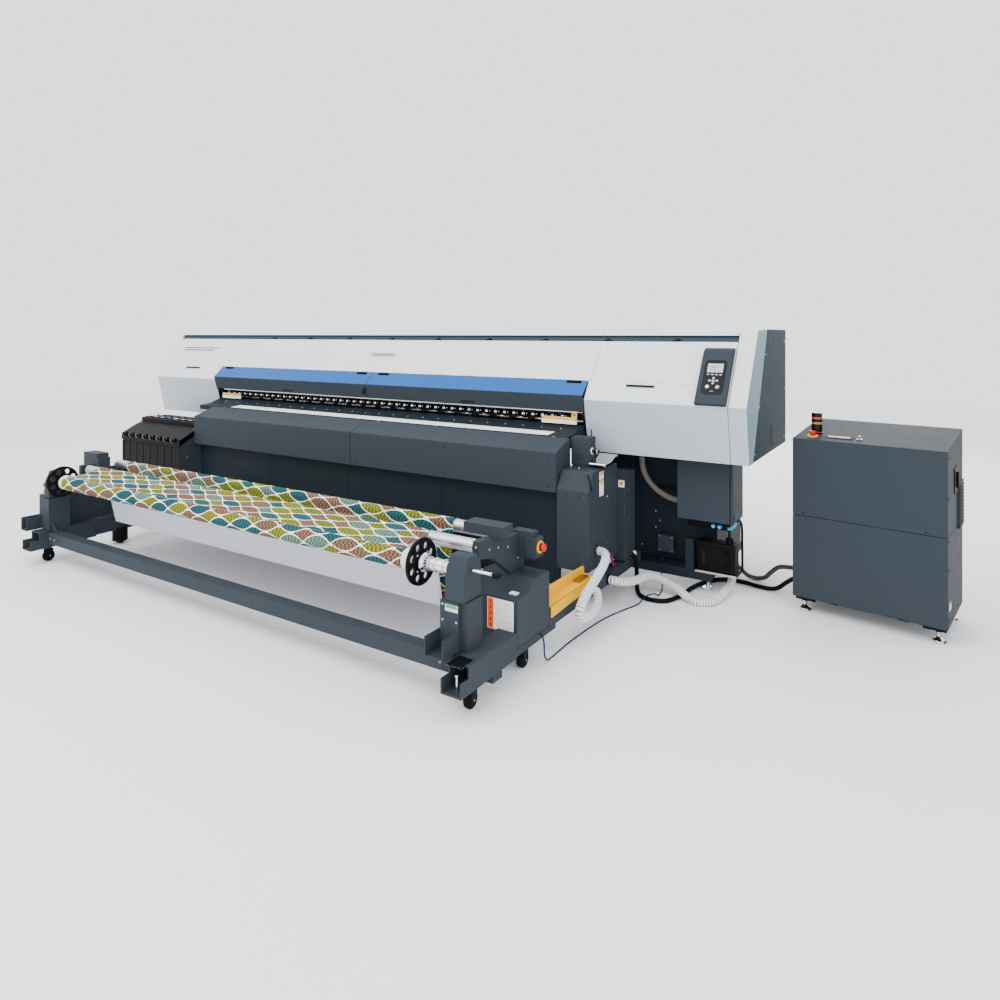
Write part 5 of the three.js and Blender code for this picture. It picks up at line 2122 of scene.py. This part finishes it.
    def roller_rings(self) -> None:
        """Bright rings at the ends of the guide rollers."""
        ring = [(0.0330, -0.004), (0.0342, -0.003), (0.0342, 0.003), (0.0330, 0.004)]
        for end in ("front", "rear"):
            node = f"guide_roller_{end}"
            lo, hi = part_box(node)
            y, z = middle(node).yz
            form = Form(f"{node}_rings", Finish.CHROME, f"{end}_roller", 0.001)
            for x in (hi.x - 0.026, hi.x - 0.060, lo.x + 0.026):
                form.turned(ring, place((x, y, z), spin_y=90), sides=40)
            form.done()

    def feet(self) -> None:
        """Rubber foot at the rear left and the shroud round the caster beside it."""
        form = Form("rear_feet", Finish.RUBBER, bevel=0.002)
        foot = [(0.030, 0.0), (0.030, 0.070), (0.022, 0.072), (0.022, 0.104)]
        form.turned(foot, place((-2.185, -0.13, 0.0)))
        form.done()
        x, y = middle("caster_rear_left").xy
        shroud = Form("caster_shroud", Finish.BLACK, bevel=0.0015)
        wall = [(0.0515, 0.0), (0.056, 0.002), (0.056, 0.104), (0.050, 0.108), (0.0515, 0.0)]
        shroud.turned(wall, place((x, y, 0.022)))
        shroud.done()

    def build(self) -> None:
        """Makes the whole frame."""
        self.skins()
        self.casters()
        self.duct()
        self.motor_cover()
        self.column()
        self.stop_collar()
        self.knobs()
        self.gussets()
        self.bolts()
        self.roller_rings()
        self.feet()


# ---- control cabinet ------------------------------------------------------------------------


@dataclass
class Cabinet:
    """Free-standing control cabinet, turned a little, with lamp tower, display and breaker."""

    corner: tuple[float, float] = (2.5594, 0.618)
    turn: float = -8.0
    width: float = 0.790
    depth: float = 0.520
    low: float = 0.090
    front: float = 1.030
    back: float = 1.100

    def local(self, x: float, y: float, z: float, tilt_x: float = 0.0, turn: float = 0.0) -> Matrix:
        """A placing in the cabinet's own axes."""
        base = place((*self.corner, 0.0), self.turn)
        return base @ place((x, y, z), turn, tilt_x)

    def lid(self, x: float, y: float, lift: float = 0.0) -> Matrix:
        """A placing on the sloping lid."""
        lean = math.atan2(self.back - self.front, self.depth)
        high = self.front + math.tan(lean) * y
        return self.local(x, y, high + lift, math.degrees(lean))

    def skins(self) -> None:
        """Dresses the body, the lamp tower, the stop button and the breaker's handle."""
        foot = Finish.CHROME, lambda centre, normal: centre.z < self.low - 0.001
        # The cabinet's right side, where the breaker is, gets the dark slate as painted shade.
        painted_shade_side = Finish.SHADE, lambda centre, normal: normal.x > 0.6
        Skin("cabinet_body", Finish.SLATE, 0.004, (("z", 0.575),), zones=(foot, painted_shade_side)).build()
        Skin("signal_tower", Finish.GLOSS, 0.003).build()
        Skin("cabinet_stop_button", Finish.RED, 0.002).build()
        Skin("breaker_handle", Finish.BLACK, 0.003).build()

    def lamps(self) -> None:
        """Red and green bands of the lamp tower, and its black foot."""
        x, y = middle("signal_tower").xy
        at = place((x, y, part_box("signal_tower")[0].z))
        form = Form("signal_lamps", Finish.GLOSS, bevel=0.0008)
        for z, finish in ((0.080, Finish.LAMP_RED), (0.050, Finish.LAMP_GREEN)):
            band = [(0.029, z), (0.0306, z + 0.001), (0.0306, z + 0.012), (0.029, z + 0.013)]
            form.turned(band, at, finish, 36)
        form.turned([(0.034, -0.006), (0.034, 0.002), (0.031, 0.004)], at, Finish.BLACK, 36)
        form.done()

    def top(self) -> None:
        """Stop ring, display, knob and screws on the lid."""
        form = Form("cabinet_top", Finish.BLACK, bevel=0.001)
        lo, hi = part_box("cabinet_stop_button")
        stop_ring(form, (hi.x - lo.x) / 2 + 0.001, 0.005, self.lid(0.092, 0.075), 32)
        plate(form, (0.150, 0.052), self.lid(0.235, 0.090), 0.004, Finish.BLACK)
        plate(form, (0.118, 0.030), self.lid(0.235, 0.090, 0.004), 0.0008, Finish.KEY_GREY)
        knob = [(0.016, -0.001), (0.016, 0.005), (0.009, 0.006), (0.009, 0.018), (0.006, 0.021)]
        form.turned(knob, self.lid(0.345, 0.090), Finish.CHROME, 28)
        for x, y in ((0.03, 0.46), (0.27, 0.48), (0.52, 0.48), (0.76, 0.46), (0.20, 0.30), (0.60, 0.30)):
            screw(form, self.lid(x, y), PLAIN, Finish.BLACK)
        form.done()

    def fasteners(self) -> None:
        """Screws on the outer side, the front and the back."""
        form = Form("cabinet_screws", Finish.BLACK, bevel=0.0)
        for z in (0.14, 0.40, 0.55, 0.78, 0.99):
            screw(form, self.local(self.width, 0.03, z, 90, 90), 0.0055, Finish.BLACK)
        for x in (0.06, 0.69):
            screw(form, self.local(x, 0.0, 0.590, 90), SMALL, Finish.BLACK)
        for x in (0.03, 0.40, 0.76):
            for z in (0.16, 0.62, 1.02):
                screw(form, self.local(x, self.depth, z, 90, 180), LARGE, Finish.BLACK)
        form.done()

    def build(self) -> None:
        """Makes the cabinet."""
        self.skins()
        self.lamps()
        self.top()
        self.fasteners()
        self.breaker()
        self.base()
        self.rear()

    def breaker(self) -> None:
        """Breaker plate, its red pointer and the slotted filter box below it."""
        form = Form("breaker_plate", Finish.BLACK, bevel=0.002)
        at = self.local(self.width, 0.260, 0.846, 90, 90)
        form.box((-0.055, -0.070, -0.001), (0.055, 0.070, 0.0045), at)
        form.turned([(0.034, 0.0), (0.034, 0.0046), (0.030, 0.0055)], at, Finish.GLOSS, 32)
        form.box((-0.004, 0.036, 0.004), (0.004, 0.056, 0.0055), at, Finish.RED)
        vent = self.local(self.width + 0.013, 0.400, 0.690, 90, 90)
        for i in range(12):
            form.box((-0.058, -0.110 + 0.0195 * i, -0.002), (0.058, -0.101 + 0.0195 * i, 0.0035), vent,
                     Finish.SHADE)
        notice(form, (0.055, 0.040), self.local(self.width, 0.075, 0.200, 90, 90), Finish.LABEL_YELLOW, 0.4)
        form.done()

    def base(self) -> None:
        """Black corner shoes, lock nuts and the slotted skirt."""
        form = Form("cabinet_base", Finish.BLACK, bevel=0.002)
        inset = 0.050
        here = self.local(0, 0, 0)
        low, high = self.low - 0.022, self.low + 0.002
        nut = [(0.018, 0.0), (0.018, 0.010), (0.014, 0.012)]
        foot = [(0.030, 0.012), (0.018, 0.020), (0.011, 0.030)]
        for y in (inset + 0.02, self.depth - inset):
            for x in (inset + 0.015, self.width - inset - 0.015):
                form.box((x - 0.055, y - 0.045, low), (x + 0.055, y + 0.045, high), here)
            for x in (inset, self.width - inset):
                form.turned(nut, self.local(x, y, 0.046), Finish.CHROME, 6)
                form.turned(foot, self.local(x, y, 0.0), Finish.CHROME)
        for x in (0.20, 0.56):
            form.box((x, -0.0008, self.low - 0.002), (x + 0.05, 0.004, self.low + 0.006), here)
        form.done()

    def rear(self) -> None:
        """Fan grilles on the cabinet's back."""
        form = Form("cabinet_fans", Finish.BLACK, bevel=0.001)
        for x in (0.22, 0.57):
            at = self.local(x, self.depth, 0.82, 90, 180)
            form.box((-0.075, -0.075, -0.001), (0.075, 0.075, 0.004), at, Finish.SHADE)
            for radius in (0.020, 0.036, 0.052, 0.066):
                ring = [(radius - 0.002, 0.004), (radius - 0.0015, 0.0065), (radius + 0.0015, 0.0065),
                        (radius + 0.002, 0.004)]
                form.turned(ring, at, Finish.BLACK, 36)
            form.box((-0.070, -0.003, 0.004), (0.070, 0.003, 0.007), at)
            form.box((-0.003, -0.070, 0.004), (0.003, 0.070, 0.007), at)
        form.done()


# ---- assembly -------------------------------------------------------------------------------


def main() -> None:
    """Builds the studio, the cords and then every sub-assembly."""
    logging.basicConfig(level=logging.INFO, format="%(name)s %(message)s")
    Studio().build()
    Routes().build()
    for part in (
        TakeUpFrame(), TakeUpRoll(), Web(), Housing(), Windows(), PrintBed(), LowerCovers(), Legs(),
        InkSupply(), ControlPanel(), Cabinet(),
    ):
        LOG.info("building %s", type(part).__name__)
        part.build()


if __name__ == "__main__":
    main()
